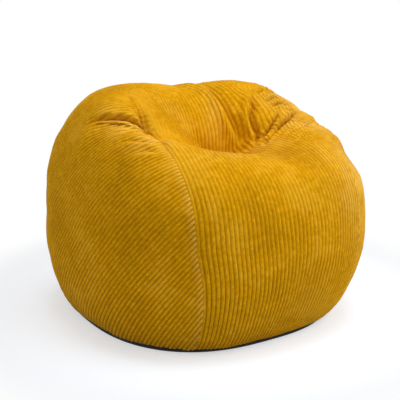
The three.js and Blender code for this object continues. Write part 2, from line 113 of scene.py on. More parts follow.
CREASE_REACH = 56.0
CREASE_FADE = 8
CREASE_RIGHT_RISE = 6.0
FRONT_SWELL = 30.4
FRONT_SWELL_TURN = -16.0
FRONT_SWELL_SPREAD = 25.0
FRONT_SWELL_REACH = 51.7
SHOULDER_SWELL = 36.6
SHOULDER_TURN = 100.0
SHOULDER_SPREAD = 35.0
SHOULDER_TILT = 38.0
SHOULDER_TILT_SPREAD = 22.0

# Seams, cloth, layers, rim and zip slot, in millimetres. A wale has PER_WALE sections.
SEAM_HALF_WIDTH = 267.7
SEAM_CROWN_INSET = 39.0
SEAM_FOOT_INSET = 91.6
COVER_THICKNESS = 3.0
PER_WALE = 7
BASE_THICKNESS = 1.8
LINER_THICKNESS = 1.0
LINER_DEPTH = 9.0
FILL_DEPTH = 14.0
FILL_FLOOR = 4.0
FILL_ZIP_EASE = 16.0
FILL_ZIP_END = 320.0
LAYER_GAP = 0.3
RIM_HEIGHT = 11.5
RIM_INSET = 8.0
RIM_EASE = 0.4
RIM_BULGE = 1.2
SEAM_OVERLAP = 3.0
SLOT_HALF_WIDTH = 9.0
SLOT_GAP = 0.3
SLOT_CLOSING = 5.0
ZIP_EASE_BESIDE = (18, 45)
ZIP_EASE_FADE = 30
COVER_SLOT_END = 255
COVER_EASE_END = 258
LINER_SLOT_END = 215
LINER_EASE_END = 290
LINER_RIM_INSET = 6
STITCH_END = 254
SEAM_DEPTH = 2.2
SEAM_RIGHT_PULL = 3.0
SEAM_LEFT_PULL = 1.7
PUCKER_PITCH = 12.0
STITCH_ROWS = (12.0, 16.0)
THREAD_RADIUS = 0.45
THREAD_SIDES = 8

# Middling sizes that turn shares and angles into lengths for patterns, in millimetres.
TYPICAL_RADIUS = 330.0
TYPICAL_PANEL_WIDTH = 520.0
TYPICAL_PANEL_LENGTH = 1900.0

# The frame's own measures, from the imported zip.
TAPE_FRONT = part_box("cover_zip_tape_front")
TAPE_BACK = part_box("cover_zip_tape_back")
LINER_TAPE_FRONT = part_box("liner_zip_tape_front")
ZIP_CENTRE_X = (TAPE_FRONT[0].x + TAPE_FRONT[1].x) / 2
ZIP_CENTRE_Y = (TAPE_FRONT[0].y + TAPE_BACK[1].y) / 2
FORM_SHIFT = np.array([ZIP_CENTRE_X - FOOT_SHIFT * MILLIMETRE, ZIP_CENTRE_Y, 0.0])

# The camera that the photograph was taken with, fitted to the outline and the seams.
VIEW_AZIMUTH = -32.15
VIEW_ELEVATION = 16.33
VIEW_DISTANCE = 2.8
VIEW_FOCAL_PIXELS = 975.71
VIEW_PIXELS = 400
VIEW_SIDE_SHIFT = -0.00632
VIEW_TARGET_HEIGHT = 0.29615
SENSOR_WIDTH = 36.0
AMBIENT_STRENGTH = 0.36
FLOOR_RADIUS = 30.0
FLOOR_SIDES = 128
FLOOR_DROP = 0.0005


def power_hump(distance, spread, power):
    """A hump of height 1: e to the minus (distance over spread) to a power."""
    return np.exp(-np.abs(distance / spread) ** power)


def ease_between(value, low, high):
    """0 below low, 1 above high, and 3t^2 - 2t^3 between."""
    share = np.clip((value - low) / (high - low), 0, 1)
    return share * share * (3 - 2 * share)


def turn_degrees_of(turn):
    """A turn in degrees, from -90 (straight down) round by the front to 270."""
    return (np.degrees(turn) + 90) % 360 - 90


def bisect(low, high, test, passes=40):
    """Halves the span between two arrays where the sign of test changes, element by element."""
    low = np.array(low, float)
    high = np.array(high, float)
    for _ in range(passes):
        middle = (low + high) / 2
        inside = test(middle) > 0
        low = np.where(inside, middle, low)
        high = np.where(inside, high, middle)
    return (low + high) / 2


def body_radius(turn, tilt):
    """Radius from the girth centre: a superellipse in plan and in profile, less the Gaussian-like
    hollow and crease, and plus two swellings."""
    across = np.abs(np.sin(tilt))
    forward = np.cos(tilt) * np.cos(turn)
    rise = np.cos(tilt) * np.sin(turn)
    upper = rise > 0
    reach = np.where(forward > 0, FRONT_REACH, BACK_REACH)
    side_share = across ** 2 / (across ** 2 + forward ** 2 + 1e-9)
    plan_power = WAIST_ROUNDNESS + np.where(
        upper, (CROWN_PLAN_ROUNDNESS - WAIST_ROUNDNESS) * rise ** 2, 0
    )
    profile_power = np.where(
        upper,
        MIDDLE_CROWN_ROUNDNESS + (SIDE_CROWN_ROUNDNESS - MIDDLE_CROWN_ROUNDNESS) * side_share,
        FOOT_ROUNDNESS,
    )
    plan = (across / HALF_WIDTH) ** plan_power + (np.abs(forward) / reach) ** plan_power
    plan = plan ** (1 / plan_power)
    upright = np.abs(rise) / np.where(upper, CROWN_RISE, FOOT_DROP)
    radius = (plan ** profile_power + upright ** profile_power) ** (-1 / profile_power)

    turn_degrees = turn_degrees_of(turn)
    tilt_degrees = np.degrees(np.abs(tilt))
    from_seat = turn_degrees - SEAT_TURN
    spread = np.where(from_seat < 0, SEAT_FRONT_SPREAD, SEAT_BACK_SPREAD)
    sharpness = np.where(from_seat < 0, SEAT_FRONT_SHARPNESS, SEAT_BACK_SHARPNESS)
    side_fade = power_hump(tilt_degrees, SEAT_SIDE_SPREAD, SEAT_SIDE_SHARPNESS)
    radius = radius - SEAT_DEPTH * power_hump(from_seat, spread, sharpness) * side_fade

    crease_line = CREASE_TURN + CREASE_SWEEP * np.maximum(0, tilt_degrees - CREASE_BEND)
    crease_line = crease_line + CREASE_RIGHT_RISE * ease_between(np.degrees(tilt), 12, 34)
    from_crease = (turn_degrees - crease_line) * np.cos(tilt)
    radius = radius - CREASE_DEPTH * power_hump(
        from_crease, CREASE_SPREAD, CREASE_SHARPNESS
    ) * power_hump(tilt_degrees, CREASE_REACH, CREASE_FADE)

    facing = np.maximum(
        np.cos(tilt) * np.cos(turn - math.radians(SEAT_TURN)), SEAT_FLOOR_LEAST_SHARE
    )
    floor = SEAT_FLOOR_DISTANCE / facing
    radius = (np.maximum(radius, 1) ** SEAT_FLOOR_BLEND + floor ** SEAT_FLOOR_BLEND) ** (
        1 / SEAT_FLOOR_BLEND
    )

    radius = radius + FRONT_SWELL * power_hump(
        turn_degrees - FRONT_SWELL_TURN, FRONT_SWELL_SPREAD, 2
    ) * power_hump(tilt_degrees, FRONT_SWELL_REACH, SEAT_SIDE_SHARPNESS)
    return radius + SHOULDER_SWELL * power_hump(
        turn_degrees - SHOULDER_TURN, SHOULDER_SPREAD, 2
    ) * power_hump(tilt_degrees - SHOULDER_TILT, SHOULDER_TILT_SPREAD, 2)


def direction(turn, tilt):
    """Unit vector of two angles."""
    turn, tilt = np.broadcast_arrays(turn, tilt)
    return np.stack(
        [np.sin(tilt), -np.cos(tilt) * np.cos(turn), np.cos(tilt) * np.sin(turn)], -1
    )


def body_point(heading):
    """Point of the form along a unit vector, in millimetres in the form's own frame."""
    tilt = np.arcsin(np.clip(heading[..., 0], -1, 1))
    turn = np.arctan2(heading[..., 2], -heading[..., 1])
    point = heading * body_radius(turn, tilt)[..., None]
    above = np.maximum(0, point[..., 2])
    below = np.maximum(0, -point[..., 2] / GIRTH_HEIGHT)
    below = 1.1 * below ** 2 / (below + 0.12)
    return np.stack([
        point[..., 0] + FOOT_SHIFT * below,
        point[..., 1] - FORWARD_LEAN * above,
        point[..., 2] + GIRTH_HEIGHT - RIGHT_SHOULDER_DROP * above * point[..., 0] / HALF_WIDTH,
    ], -1)


def unit(vectors):
    """Vectors divided by their lengths."""
    return vectors / np.maximum(np.linalg.norm(vectors, axis=-1, keepdims=True), 1e-12)


def body_normal(heading, step=0.004):
    """Outward normal: the cross product of two short steps on the form."""
    upright = np.abs(heading[..., 2:3]) < 0.8
    helper = np.where(upright, np.array([0.0, 0.0, 1.0]), np.array([0.0, 1.0, 0.0]))
    first = unit(np.cross(helper, heading))
    second = np.cross(heading, first)
    rise = body_point(unit(heading + first * step)) - body_point(unit(heading - first * step))
    run = body_point(unit(heading + second * step)) - body_point(unit(heading - second * step))
    return unit(np.cross(rise, run))


def form_at(turn, tilt):
    """Points and outward normals of the form at two angles."""
    heading = direction(turn, tilt)
    return body_point(heading), body_normal(heading)


def seam_tilt(turn):
    """Tilt of the seam at a turn: where the form is as far out as the seam's half span."""
    lift = np.sin(turn)
    low = np.maximum(0, -lift)
    half_span = (
        SEAM_HALF_WIDTH
        - SEAM_CROWN_INSET * np.maximum(0, lift) ** 2
        - SEAM_FOOT_INSET * 1.15 * low ** 2 / (low + 0.15)
    )
    tilt = np.full(np.shape(turn), math.radians(35))
    for _ in range(40):
        wanted = np.arcsin(np.minimum(0.97, half_span / body_radius(turn, tilt)))
        tilt = tilt + 0.6 * (wanted - tilt)
    return tilt


SEAM_TURNS = np.radians(np.linspace(-180, 360, 2161))
SEAM_TILTS = seam_tilt(SEAM_TURNS)


def seam_at(turn, side=-1):
    """Tilt of the seam at a turn, read from the curve worked out once.

    Over the right shoulder the seam is pulled out, and on the left of the front it is pulled in,
    each by a smooth hump of a few degrees.
    """
    tilt = np.interp(turn, SEAM_TURNS, SEAM_TILTS)
    degrees = turn_degrees_of(turn)
    out = math.radians(SEAM_RIGHT_PULL) * power_hump(degrees - 82, 24, 3)
    drawn_in = math.radians(SEAM_LEFT_PULL) * power_hump(degrees - 2, 24, 3)
    return tilt + np.where(np.asarray(side) > 0, out, -drawn_in)


def edge_pinch(distance, depth, width):
    """Drop of the cloth towards a seam: depth e^-(distance/width)^1.3."""
    return -depth * np.exp(-(np.maximum(distance, 0) / width) ** 1.3)


def seam_drop(turn, tilt, distance, width):
    """Dip of the cloth to a seam, with the puckers that the stitching draws.

    The dip is deeper and wider where the seams cross the corners of the hollow. The puckers are
    cosines along the seam that die away beside it: fine ones all round, broad ones over the right
    shoulder.
    """
    degrees = turn_degrees_of(turn)
    corner = power_hump(degrees - 66, 19, 2.4)
    right = tilt > 0
    depth = SEAM_DEPTH + np.where(right, 3, 29) * corner
    reach = width * (1 + np.where(right, 1.4, 3.6) * corner)
    drop = edge_pinch(distance, depth, reach)
    shoulder = power_hump(degrees - 96, 24, 4) * right
    pucker = 0.3 + 0.7 * shoulder + np.where(
        right, 0, 0.9 * power_hump(degrees - 85, 20, 4) + 1.1 * power_hump(degrees + 38, 16, 4)
    )
    place = np.radians(degrees) * TYPICAL_RADIUS / PUCKER_PITCH
    place = place + 0.8 * np.sin(place * 0.37) + 0.5 * np.sin(place * 0.23 + 1)
    fine = pucker * np.cos(2 * np.pi * place) * np.exp(-(distance / 14) ** 2)
    broad = 5.0 * shoulder * np.cos(0.9 * np.pi * place + 1.3) * np.exp(-(distance / 24) ** 2)
    return drop + fine + broad


def above_rim(turn, tilt):
    """Height of the form over the rim at two angles."""
    return body_point(direction(turn, tilt))[..., 2] - RIM_HEIGHT


def foot_turns(across):
    """Turns at which the lengthwise lines of the centre panel reach the rim, front and back."""
    def test(turn):
        return above_rim(turn, across * seam_at(turn, across))
    front = bisect(np.zeros_like(across), np.full_like(across, math.radians(-82)), test)
    back = bisect(
        np.full_like(across, math.pi), np.full_like(across, math.radians(262)), test
    )
    return front, back


def smooth_path(turns_and_tilts, samples=48):
    """Catmull-Rom curve through points given as (turn, tilt) in degrees, in radians."""
    knots = np.radians(np.array(turns_and_tilts, float))
    knots = np.vstack([2 * knots[0] - knots[1], knots, 2 * knots[-1] - knots[-2]])
    place = np.linspace(0, len(knots) - 3 - 1e-6, samples)
    index = place.astype(int)
    t = (place - index)[:, None]
    a, b, c, d = (knots[index + k] for k in range(4))
    return 0.5 * (
        2 * b + (c - a) * t + (2 * a - 5 * b + 4 * c - d) * t ** 2
        + (3 * b - a - 3 * c + d) * t ** 3
    )


def soft_noise(points, size, seed):
    """Value noise from -1 to 1: random numbers on a cubic lattice of the given size, blended with
    3t^2 - 2t^3 along each axis."""
    place = points / size + seed * 17.3
    corner = np.floor(place).astype(np.int64)
    t = place - corner
    t = t * t * (3 - 2 * t)
    total = np.zeros(points.shape[:-1])
    for offset in np.ndindex(2, 2, 2):
        cell = corner + np.array(offset)
        mixed = cell[..., 0] * 374761393 + cell[..., 1] * 668265263 + cell[..., 2] * 2147483647
        mixed = (mixed ^ (mixed >> 13)) * 1274126177 + seed * 7919
        value = ((mixed ^ (mixed >> 16)) & 0xFFFF) / 32767.5 - 1
        weight = np.prod(np.where(np.array(offset) == 1, t, 1 - t), axis=-1)
        total = total + value * weight
    return total


class Fold:
    """A fold along a path on the form.

    The lift across it, at signed distance s over its width w, is the sum of a valley
    -depth e^-(|s|/w)^1.5, two shoulders shoulder e^-((|s|-2w)/w)^2, and a step
    step (s/w) e^(1-|s|/w). A cosine ripple along the path is added beside it. The cloth is drawn
    in towards it, by draw (s/v) e^(-(s/v)^2/2) with v the reach of the draw. All of it fades at
    the ends.
    """

    def __init__(self, path, width, depth=0.0, shoulder=0.0, step=0.0, ripple=0.0,
                 ripple_pitch=12.5, fade_in=0.25, fade_out=0.25, draw=0.0, draw_reach=18.0):
        self.width = width
        self.depth = depth
        self.shoulder = shoulder
        self.step = step
        self.ripple = ripple
        self.ripple_pitch = ripple_pitch
        self.fade_in = fade_in
        self.fade_out = fade_out
        self.draw = draw
        self.draw_reach = draw_reach
        self.points, self.normals = form_at(*smooth_path(path).T)

    def nearest(self, flat, reach):
        """Which points lie near the path, and for each its offset from the nearest place of the
        path, the side that it lies on, its length along the path and the fade there."""
        low = self.points.min(0) - reach
        high = self.points.max(0) + reach
        near = np.nonzero(np.all((flat > low) & (flat < high), axis=1))[0]
        start = self.points[:-1]
        run = np.diff(self.points, axis=0)
        length = np.linalg.norm(run, axis=1)
        before = np.concatenate([[0], np.cumsum(length)])
        best = np.full(len(near), 1e9)
        offset = np.zeros((len(near), 3))
        side = np.zeros(len(near))
        along = np.zeros(len(near))
        for index in range(len(run)):
            from_start = flat[near] - start[index]
            share = np.clip(from_start @ run[index] / length[index] ** 2, 0, 1)
            away = from_start - share[:, None] * run[index]
            distance = np.linalg.norm(away, axis=1)
            closer = distance < best
            leftward = np.cross(self.normals[index], run[index])
            best = np.where(closer, distance, best)
            offset = np.where(closer[:, None], away, offset)
            side = np.where(closer, np.sign(away @ leftward), side)
            along = np.where(closer, before[index] + share * length[index], along)
        share = along / before[-1]
        fade = ease_between(share, 0, self.fade_in) * ease_between(1 - share, 0, self.fade_out)
        return near, best, offset, side, along, fade

    def lift(self, points):
        """Lift in millimetres at points of the form."""
        flat = points.reshape(-1, 3)
        result = np.zeros(len(flat))
        near, best, _, side, along, fade = self.nearest(flat, self.width * 6)
        scaled = best / self.width
        lift = -self.depth * np.exp(-scaled ** 1.5)
        lift = lift + self.shoulder * np.exp(-(scaled - 2) ** 2)
        lift = lift + self.step * side * scaled * np.exp(1 - scaled)
        beside = power_hump(scaled - 1.6, 1.2, 2)
        lift = lift + self.ripple * np.cos(2 * np.pi * along / self.ripple_pitch) * beside
        result[near] = lift * fade
        return result.reshape(points.shape[:-1])

    def pull(self, points):
        """How far the cloth at points of the form is drawn in towards the path."""
        flat = points.reshape(-1, 3)
        result = np.zeros_like(flat)
        near, best, offset, _, _, fade = self.nearest(flat, self.draw_reach * 4)
        scaled = best / self.draw_reach
        towards = -offset / np.maximum(best, 1e-6)[:, None]
        amount = self.draw * scaled * np.exp(-scaled ** 2 / 2) * fade
        result[near] = towards * amount[:, None]
        return result.reshape(points.shape)


def make_folds():
    """The folds that the photograph shows, and their like on the sides that it hides."""
    return [
        # crease of the left panel under the shoulder, into the seam
        Fold([(96, -58), (90.5, -54), (86.4, -51.8), (81.4, -49), (78, -47), (74.3, -45.2),
              (70, -43)], 7, depth=16, shoulder=5, fade_in=0.5, fade_out=0.1, draw=-11,
             draw_reach=32),
        # ridge under it, down to the corner of the hollow
        Fold([(91, -57), (82.4, -51.8), (76.4, -49.7), (70, -47.5), (64, -45), (52, -42),
              (46, -38.5)], 8, depth=-8, ripple=1.6, ripple_pitch=31, fade_in=0.5, fade_out=0.15),
        # lumps of the seam beside it
        Fold([(84, -38), (78, -39.4), (73.6, -40.6), (70.1, -41), (64, -40.6)], 5, ripple=4.2,
             ripple_pitch=17, fade_in=0.2, fade_out=0.2, draw=-11, draw_reach=38),
        # lesser creases that fan out below the ridge
        Fold([(58, -44), (62, -47.5), (67, -51), (72, -56)], 6, depth=7, shoulder=3,
             fade_in=0.2, fade_out=0.7, draw=4, draw_reach=10),
        Fold([(50, -43), (54, -47.5), (58, -52), (60, -58)], 7, depth=6, shoulder=3,
             fade_in=0.2, fade_out=0.7, draw=4, draw_reach=10),
        Fold([(43, -42), (47, -48), (48, -55)], 8, depth=4, shoulder=3,
             fade_in=0.2, fade_out=0.7),
        # step across the back
        Fold([(142, 2), (131, 5.5), (123, 7.5), (116, 9), (111.4, 10), (107, 10.6),
              (101.5, 11.4), (97.5, 13), (93, 15), (86, 18.2), (77.4, 22.4), (66, 27)], 10,
             step=-13, depth=3, fade_in=0.85, fade_out=0.25, draw=17, draw_reach=24),
        # left edge of the pouch
        Fold([(99, 31), (90.7, 27.6), (88.6, 28), (85.1, 27), (81.6, 27.3), (75.7, 28.7),
              (70.1, 30.2), (61, 29)], 7, step=-13, depth=4, fade_in=0.35, fade_out=0.2, draw=12,
             draw_reach=17),
        # twin creases at the right with a rope of wale ends between them
        Fold([(55, 26), (61.7, 30.8), (67.3, 34.2), (69.4, 35.2), (72.5, 36.4), (75.3, 37.6),
              (80.6, 38.5), (85, 38.8)], 4.5, depth=11, shoulder=2, ripple=2.2, ripple_pitch=14,
             fade_in=0.15, fade_out=0.4, draw=6, draw_reach=9),
        Fold([(51, 23), (54.7, 26.6), (59.9, 32.2), (64.1, 36.4), (69.5, 40.4), (73.6, 43.9),
              (78.5, 48), (85, 53)], 5.5, depth=15, shoulder=6, ripple=2.6,
             ripple_pitch=14, fade_in=0.15, fade_out=0.55, draw=7, draw_reach=12),
        # puckers across the right seam over the shoulder
        Fold([(83, 35), (85.5, 39.5), (89, 43), (93, 47)], 5, depth=8, shoulder=5, fade_in=0.3,
             fade_out=0.4),
        Fold([(88, 33.5), (91, 37.5), (95, 42)], 4.5, depth=6, shoulder=4, fade_in=0.3,
             fade_out=0.4),
        Fold([(95, 31), (97.5, 35.5), (101, 40)], 4.5, depth=7, shoulder=5, fade_in=0.3,
             fade_out=0.4),
        # pale creases that fan out from the right corner over the roll
        Fold([(50, 28), (54, 34), (59, 41), (65, 48), (70, 54)], 6, depth=6, shoulder=4,
             fade_in=0.2, fade_out=0.6),
        Fold([(46, 30), (49, 37), (52, 45)], 7, depth=4, shoulder=4, fade_in=0.2, fade_out=0.6),
        # lip of the front roll
        Fold([(48, -36), (44, -32), (40, -24), (37.8, -14), (38.5, -2), (41, 9), (46, 18),
              (52, 24)], 9, depth=-3, ripple=1.5, ripple_pitch=37, fade_in=0.2, fade_out=0.2),
        # slack folds of the right panel, like the left one's
        Fold([(92, 62), (78, 58), (66, 53), (55, 50)], 8, depth=7, shoulder=4, fade_in=0.4,
             fade_out=0.3, draw=5, draw_reach=12),
        Fold([(52, 46), (50, 54), (44, 62)], 8, depth=5, shoulder=3, fade_in=0.2, fade_out=0.7),
        # slack folds low on the back, out from the seams
        Fold([(196, -33), (190, -25), (187, -15), (188, -4)], 11, depth=5, shoulder=3,
             fade_in=0.1, fade_out=0.7),
        Fold([(205, 34), (198, 26), (194, 15), (193, 6)], 12, depth=5, shoulder=3, fade_in=0.1,
             fade_out=0.7),
        Fold([(158, 37), (160, 27), (165, 17)], 12, depth=4, shoulder=3, fade_in=0.1,
             fade_out=0.7),
    ]


FOLDS = make_folds()

# Broad swells and sags of the filling: height, then turn, tilt and their spreads in degrees.
SWELLS = [
    (-9.0, (43, 13, 15, 20)),
    (-10.0, (62, 60, 24, 15)),
    (-16.0, (33, 54, 12, 12)),
    (14.0, (88, 2, 20, 13)),
    (-8.0, (88, -31, 20, 9)),
    (-2.0, (114, 10, 14, 5)),
    (7.0, (112, 24, 14, 9)),
    (-6.0, (118, 1, 18, 7)),
    (11.0, (92, -53, 9, 12)),
    (6.0, (58, -52, 8, 9)),
    (-9.0, (89, 40, 8, 7)),
    (-5.0, (99, 44, 11, 5)),
    (6.0, (84, 53, 9, 5)),
    (5.0, (-30, -20, 16, 9)),
    (-5.0, (-18, 8, 12, 8)),
    (4.0, (-34, 24, 12, 9)),
    (-5.0, (30, 44, 14, 6)),
    (-4.0, (10, 44, 14, 8)),
    (-6.0, (176, 3, 20, 17)),
    (5.0, (196, -20, 16, 12)),
]


def patch(turn, tilt, middle_turn, middle_tilt, turn_spread, tilt_spread):
    """A round hump of height 1 about two angles, in degrees: e^-(turn part)^2 - (tilt part)^2."""
    from_turn = (turn_degrees_of(turn) - middle_turn) / turn_spread
    from_tilt = (np.degrees(tilt) - middle_tilt) / tilt_spread
    return np.exp(-from_turn ** 2 - from_tilt ** 2)


def patches(turn, tilt, listed):
    """Sum of the patches of a list that holds each one's height and its four angles."""
    return sum(height * patch(turn, tilt, *where) for height, where in listed)


# Where the pile is painted pale, a painted sheen for the pile catching the light: strength,
# then turn, tilt and their spreads in degrees.
PAINTED_SHEEN_PATCHES = [
    (1.2, (92, 44, 16, 8)),
    (0.25, (92, -20, 8, 6)),
    (0.6, (72, -46, 5, 5)),
    (0.7, (55, 25, 6, 5)),
    (0.5, (38, -10, 5, 20)),
    (0.9, (60, 46, 16, 7)),
    (0.5, (97, 9, 10, 4)),
    (0.3, (90, 1, 9, 4)),
    (0.6, (78, -50, 14, 5)),
    (0.9, (52, -43, 7, 6)),
    (0.9, (22, 47, 28, 10)),
    (0.7, (14, 34, 20, 10)),
    (0.5, (150, -40, 30, 9)),
    (0.5, (140, 42, 30, 9)),
]


def painted_sheen_at(points, turn, tilt):
    """How far the pile takes the painted sheen, from 0 to 1: patches broken up by noise."""
    uneven = 0.65 + 0.5 * soft_noise(points, 34.0, 11) + 0.3 * soft_noise(points, 15.0, 13)
    return np.clip(patches(turn, tilt, PAINTED_SHEEN_PATCHES) * uneven, 0, 1)


def fold_lift(points, turn, tilt):
    """Sum of the swells, of the folds' lifts and of slow unevenness, in millimetres."""
    lift = patches(turn, tilt, SWELLS)
    for fold in FOLDS:
        lift = lift + fold.lift(points)
    lift = lift + 2.2 * soft_noise(points, 95.0, 3)
    lip = patch(turn, tilt, 41, -4, 13, 34)
    return lift + (1.3 + 1.6 * lip) * soft_noise(points, 42.0, 5)


def grid_normals(points):
    """Unit normals of a grid of points, from the cross product of its two central differences."""
    return unit(np.cross(np.gradient(points, axis=1), np.gradient(points, axis=0)))


def in_frame(points):
    """Points of the form's own frame, in millimetres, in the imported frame, in metres."""
    return points * MILLIMETRE + FORM_SHIFT


def add_object(name, data):
    """A new object in the scene's collection."""
    thing = bpy.data.objects.new(name, data)
    bpy.context.scene.collection.objects.link(thing)
    return thing


def write_mesh(name, points, faces, cloth=None, smooth=None, shares=None):
    """A mesh from an array of points and a list of face arrays, one array for each face size."""
    mesh = bpy.data.meshes.new(name)
    loops = np.concatenate([block.ravel() for block in faces]).astype(np.int32)
    totals = np.concatenate([np.full(len(block), block.shape[1]) for block in faces])
    starts = np.concatenate([[0], np.cumsum(totals)[:-1]]).astype(np.int32)
    mesh.vertices.add(len(points))
    mesh.vertices.foreach_set("co", points.astype(np.float32).ravel())
    mesh.loops.add(len(loops))
    mesh.loops.foreach_set("vertex_index", loops)
    mesh.polygons.add(len(totals))
    mesh.polygons.foreach_set("loop_start", starts)
    if smooth is None:
        smooth = [True] * len(faces)
    shading = np.concatenate([np.full(len(block), flag) for block, flag in zip(faces, smooth)])
    mesh.polygons.foreach_set("use_smooth", shading)
    if cloth is not None:
        layer = mesh.uv_layers.new(name="Cloth")
        layer.data.foreach_set("uv", cloth[loops].astype(np.float32).ravel())
    for label, values in (shares or {}).items():
        mesh.attributes.new(label, "FLOAT", "POINT").data.foreach_set(
            "value", values.astype(np.float32)
        )
    mesh.update(calc_edges=True)
    return add_object(name, mesh)


def shell(name, outer, outward, inner, cloth, shares=None):
    """A closed sheet of cloth: a fine outer grid, a coarser inner grid whose rows and columns are
    every nth of the outer's, and walls of many-sided faces that join their edges.

    outward holds the outer grid's outward normals, which set the way the faces point.
    """
    rows, columns = outer.shape[:2]
    inner_rows, inner_columns = inner.shape[:2]
    row_step = (rows - 1) // (inner_rows - 1)
    column_step = (columns - 1) // (inner_columns - 1)
    fine = np.arange(rows * columns).reshape(rows, columns)
    coarse = np.arange(inner_rows * inner_columns).reshape(inner_rows, inner_columns) + fine.size

    def quads(grid):
        return np.stack(
            [grid[:-1, :-1], grid[:-1, 1:], grid[1:, 1:], grid[1:, :-1]], -1
        ).reshape(-1, 4)

    def wall(line, inner_line, step):
        first = np.arange(len(inner_line) - 1) * step
        outer_part = line[first[:, None] + np.arange(step + 1)]
        return np.hstack([outer_part, inner_line[1:, None], inner_line[:-1, None]])

    faces = [
        quads(fine),
        quads(coarse)[:, ::-1],
        wall(fine[0], coarse[0], column_step)[:, ::-1],
        wall(fine[-1], coarse[-1], column_step),
        wall(fine[:, 0], coarse[:, 0], row_step),
        wall(fine[:, -1], coarse[:, -1], row_step)[:, ::-1],
    ]
    middle = (rows // 2, columns // 2)
    facing = np.cross(
        outer[middle[0], middle[1] + 1] - outer[middle],
        outer[middle[0] + 1, middle[1]] - outer[middle],
    )
    if facing @ outward[middle] < 0:
        faces = [block[:, ::-1] for block in faces]
    cloth_all = np.vstack([
        cloth.reshape(-1, 2), cloth[::row_step, ::column_step].reshape(-1, 2)
    ])
    points = np.vstack([outer.reshape(-1, 3), inner.reshape(-1, 3)])
    shares_all = {
        label: np.concatenate([values.ravel(), values[::row_step, ::column_step].ravel()])
        for label, values in (shares or {}).items()
    }
    smooth = [True, True, False, False, False, False]
    return write_mesh(name, points, faces, cloth_all, smooth, shares_all)


def lengths_along(points):
    """Length along each row of a grid of points, from 0 at the row's start."""
    steps = np.linalg.norm(np.diff(points, axis=1), axis=2)
    return np.concatenate([np.zeros((len(points), 1)), np.cumsum(steps, axis=1)], axis=1)


def evened(length, values):
    """For each row, its values at places that lie evenly along it, from the lengths there."""
    wanted = np.linspace(0, 1, length.shape[1])
    return np.array([
        np.interp(wanted * row[-1], row, line) for row, line in zip(length, values)
    ])


def read_table(table, row, column):
    """Values of a table at places between its rows and columns, blended along both."""
    low = np.clip(row.astype(int), 0, table.shape[0] - 2)
    left = np.clip(column.astype(int), 0, table.shape[1] - 2)
    blend = row - low
    slide = column - left
    return (
        table[low, left] * (1 - blend) * (1 - slide)
        + table[low + 1, left] * blend * (1 - slide)
        + table[low, left + 1] * (1 - blend) * slide
        + table[low + 1, left + 1] * blend * slide
    )


def wale_sections(wales):
    """Places across the wales, in wales: each wale has points at its groove and over its back."""
    return np.arange(wales * PER_WALE + 1) / PER_WALE


def wale_profile(place):
    """Height of the pile, 0 in a groove and 1 on a wale's back: 1 - c^2, with c the share of the
    way from the back down to a groove."""
    return 1 - (np.abs((place % 1.0) - 0.5) * 2) ** 2


class CentreChart:
    """Turn and tilt of every place on the centre panel, by shares across it and along it.

    Its lengthwise lines split each cross line into even lengths, so the wales keep one count.
    """

    def __init__(self, depth_samples=481, cross_samples=65):
        self.across = np.linspace(-1, 1, cross_samples)
        self.along = np.linspace(0, 1, depth_samples)
        self.front, self.back = foot_turns(self.across)
        turn = self.front + (self.back - self.front) * self.along[:, None]
        points = body_point(direction(turn, self.across * seam_at(turn, self.across)))
        steps = np.linalg.norm(np.diff(points[:, ::8], axis=0), axis=2).mean(1)
        self.length = steps.sum()
        self.rows = np.concatenate([[0], np.cumsum(steps)]) / self.length
        lengths = lengths_along(points)
        self.widths = lengths[:, -1]
        place = np.linspace(0, 1, cross_samples)
        self.shares = evened(lengths, np.broadcast_to(place, lengths.shape))

    def width_at(self, along):
        """Width of the panel at shares of its length."""
        return np.interp(np.interp(along, self.rows, self.along), self.along, self.widths)

    def at(self, across, along):
        """Turn and tilt for grids of shares: across from 0 to 1, along from 0 to 1 by length."""
        row = np.interp(along, self.rows, self.along)
        depth, width = self.shares.shape
        signed = read_table(self.shares, row * (depth - 1), across * (width - 1)) * 2 - 1
        front = np.interp(signed, self.across, self.front)
        back = np.interp(signed, self.across, self.back)
        turn = front + (back - front) * row
        return turn, signed * seam_at(turn, signed)


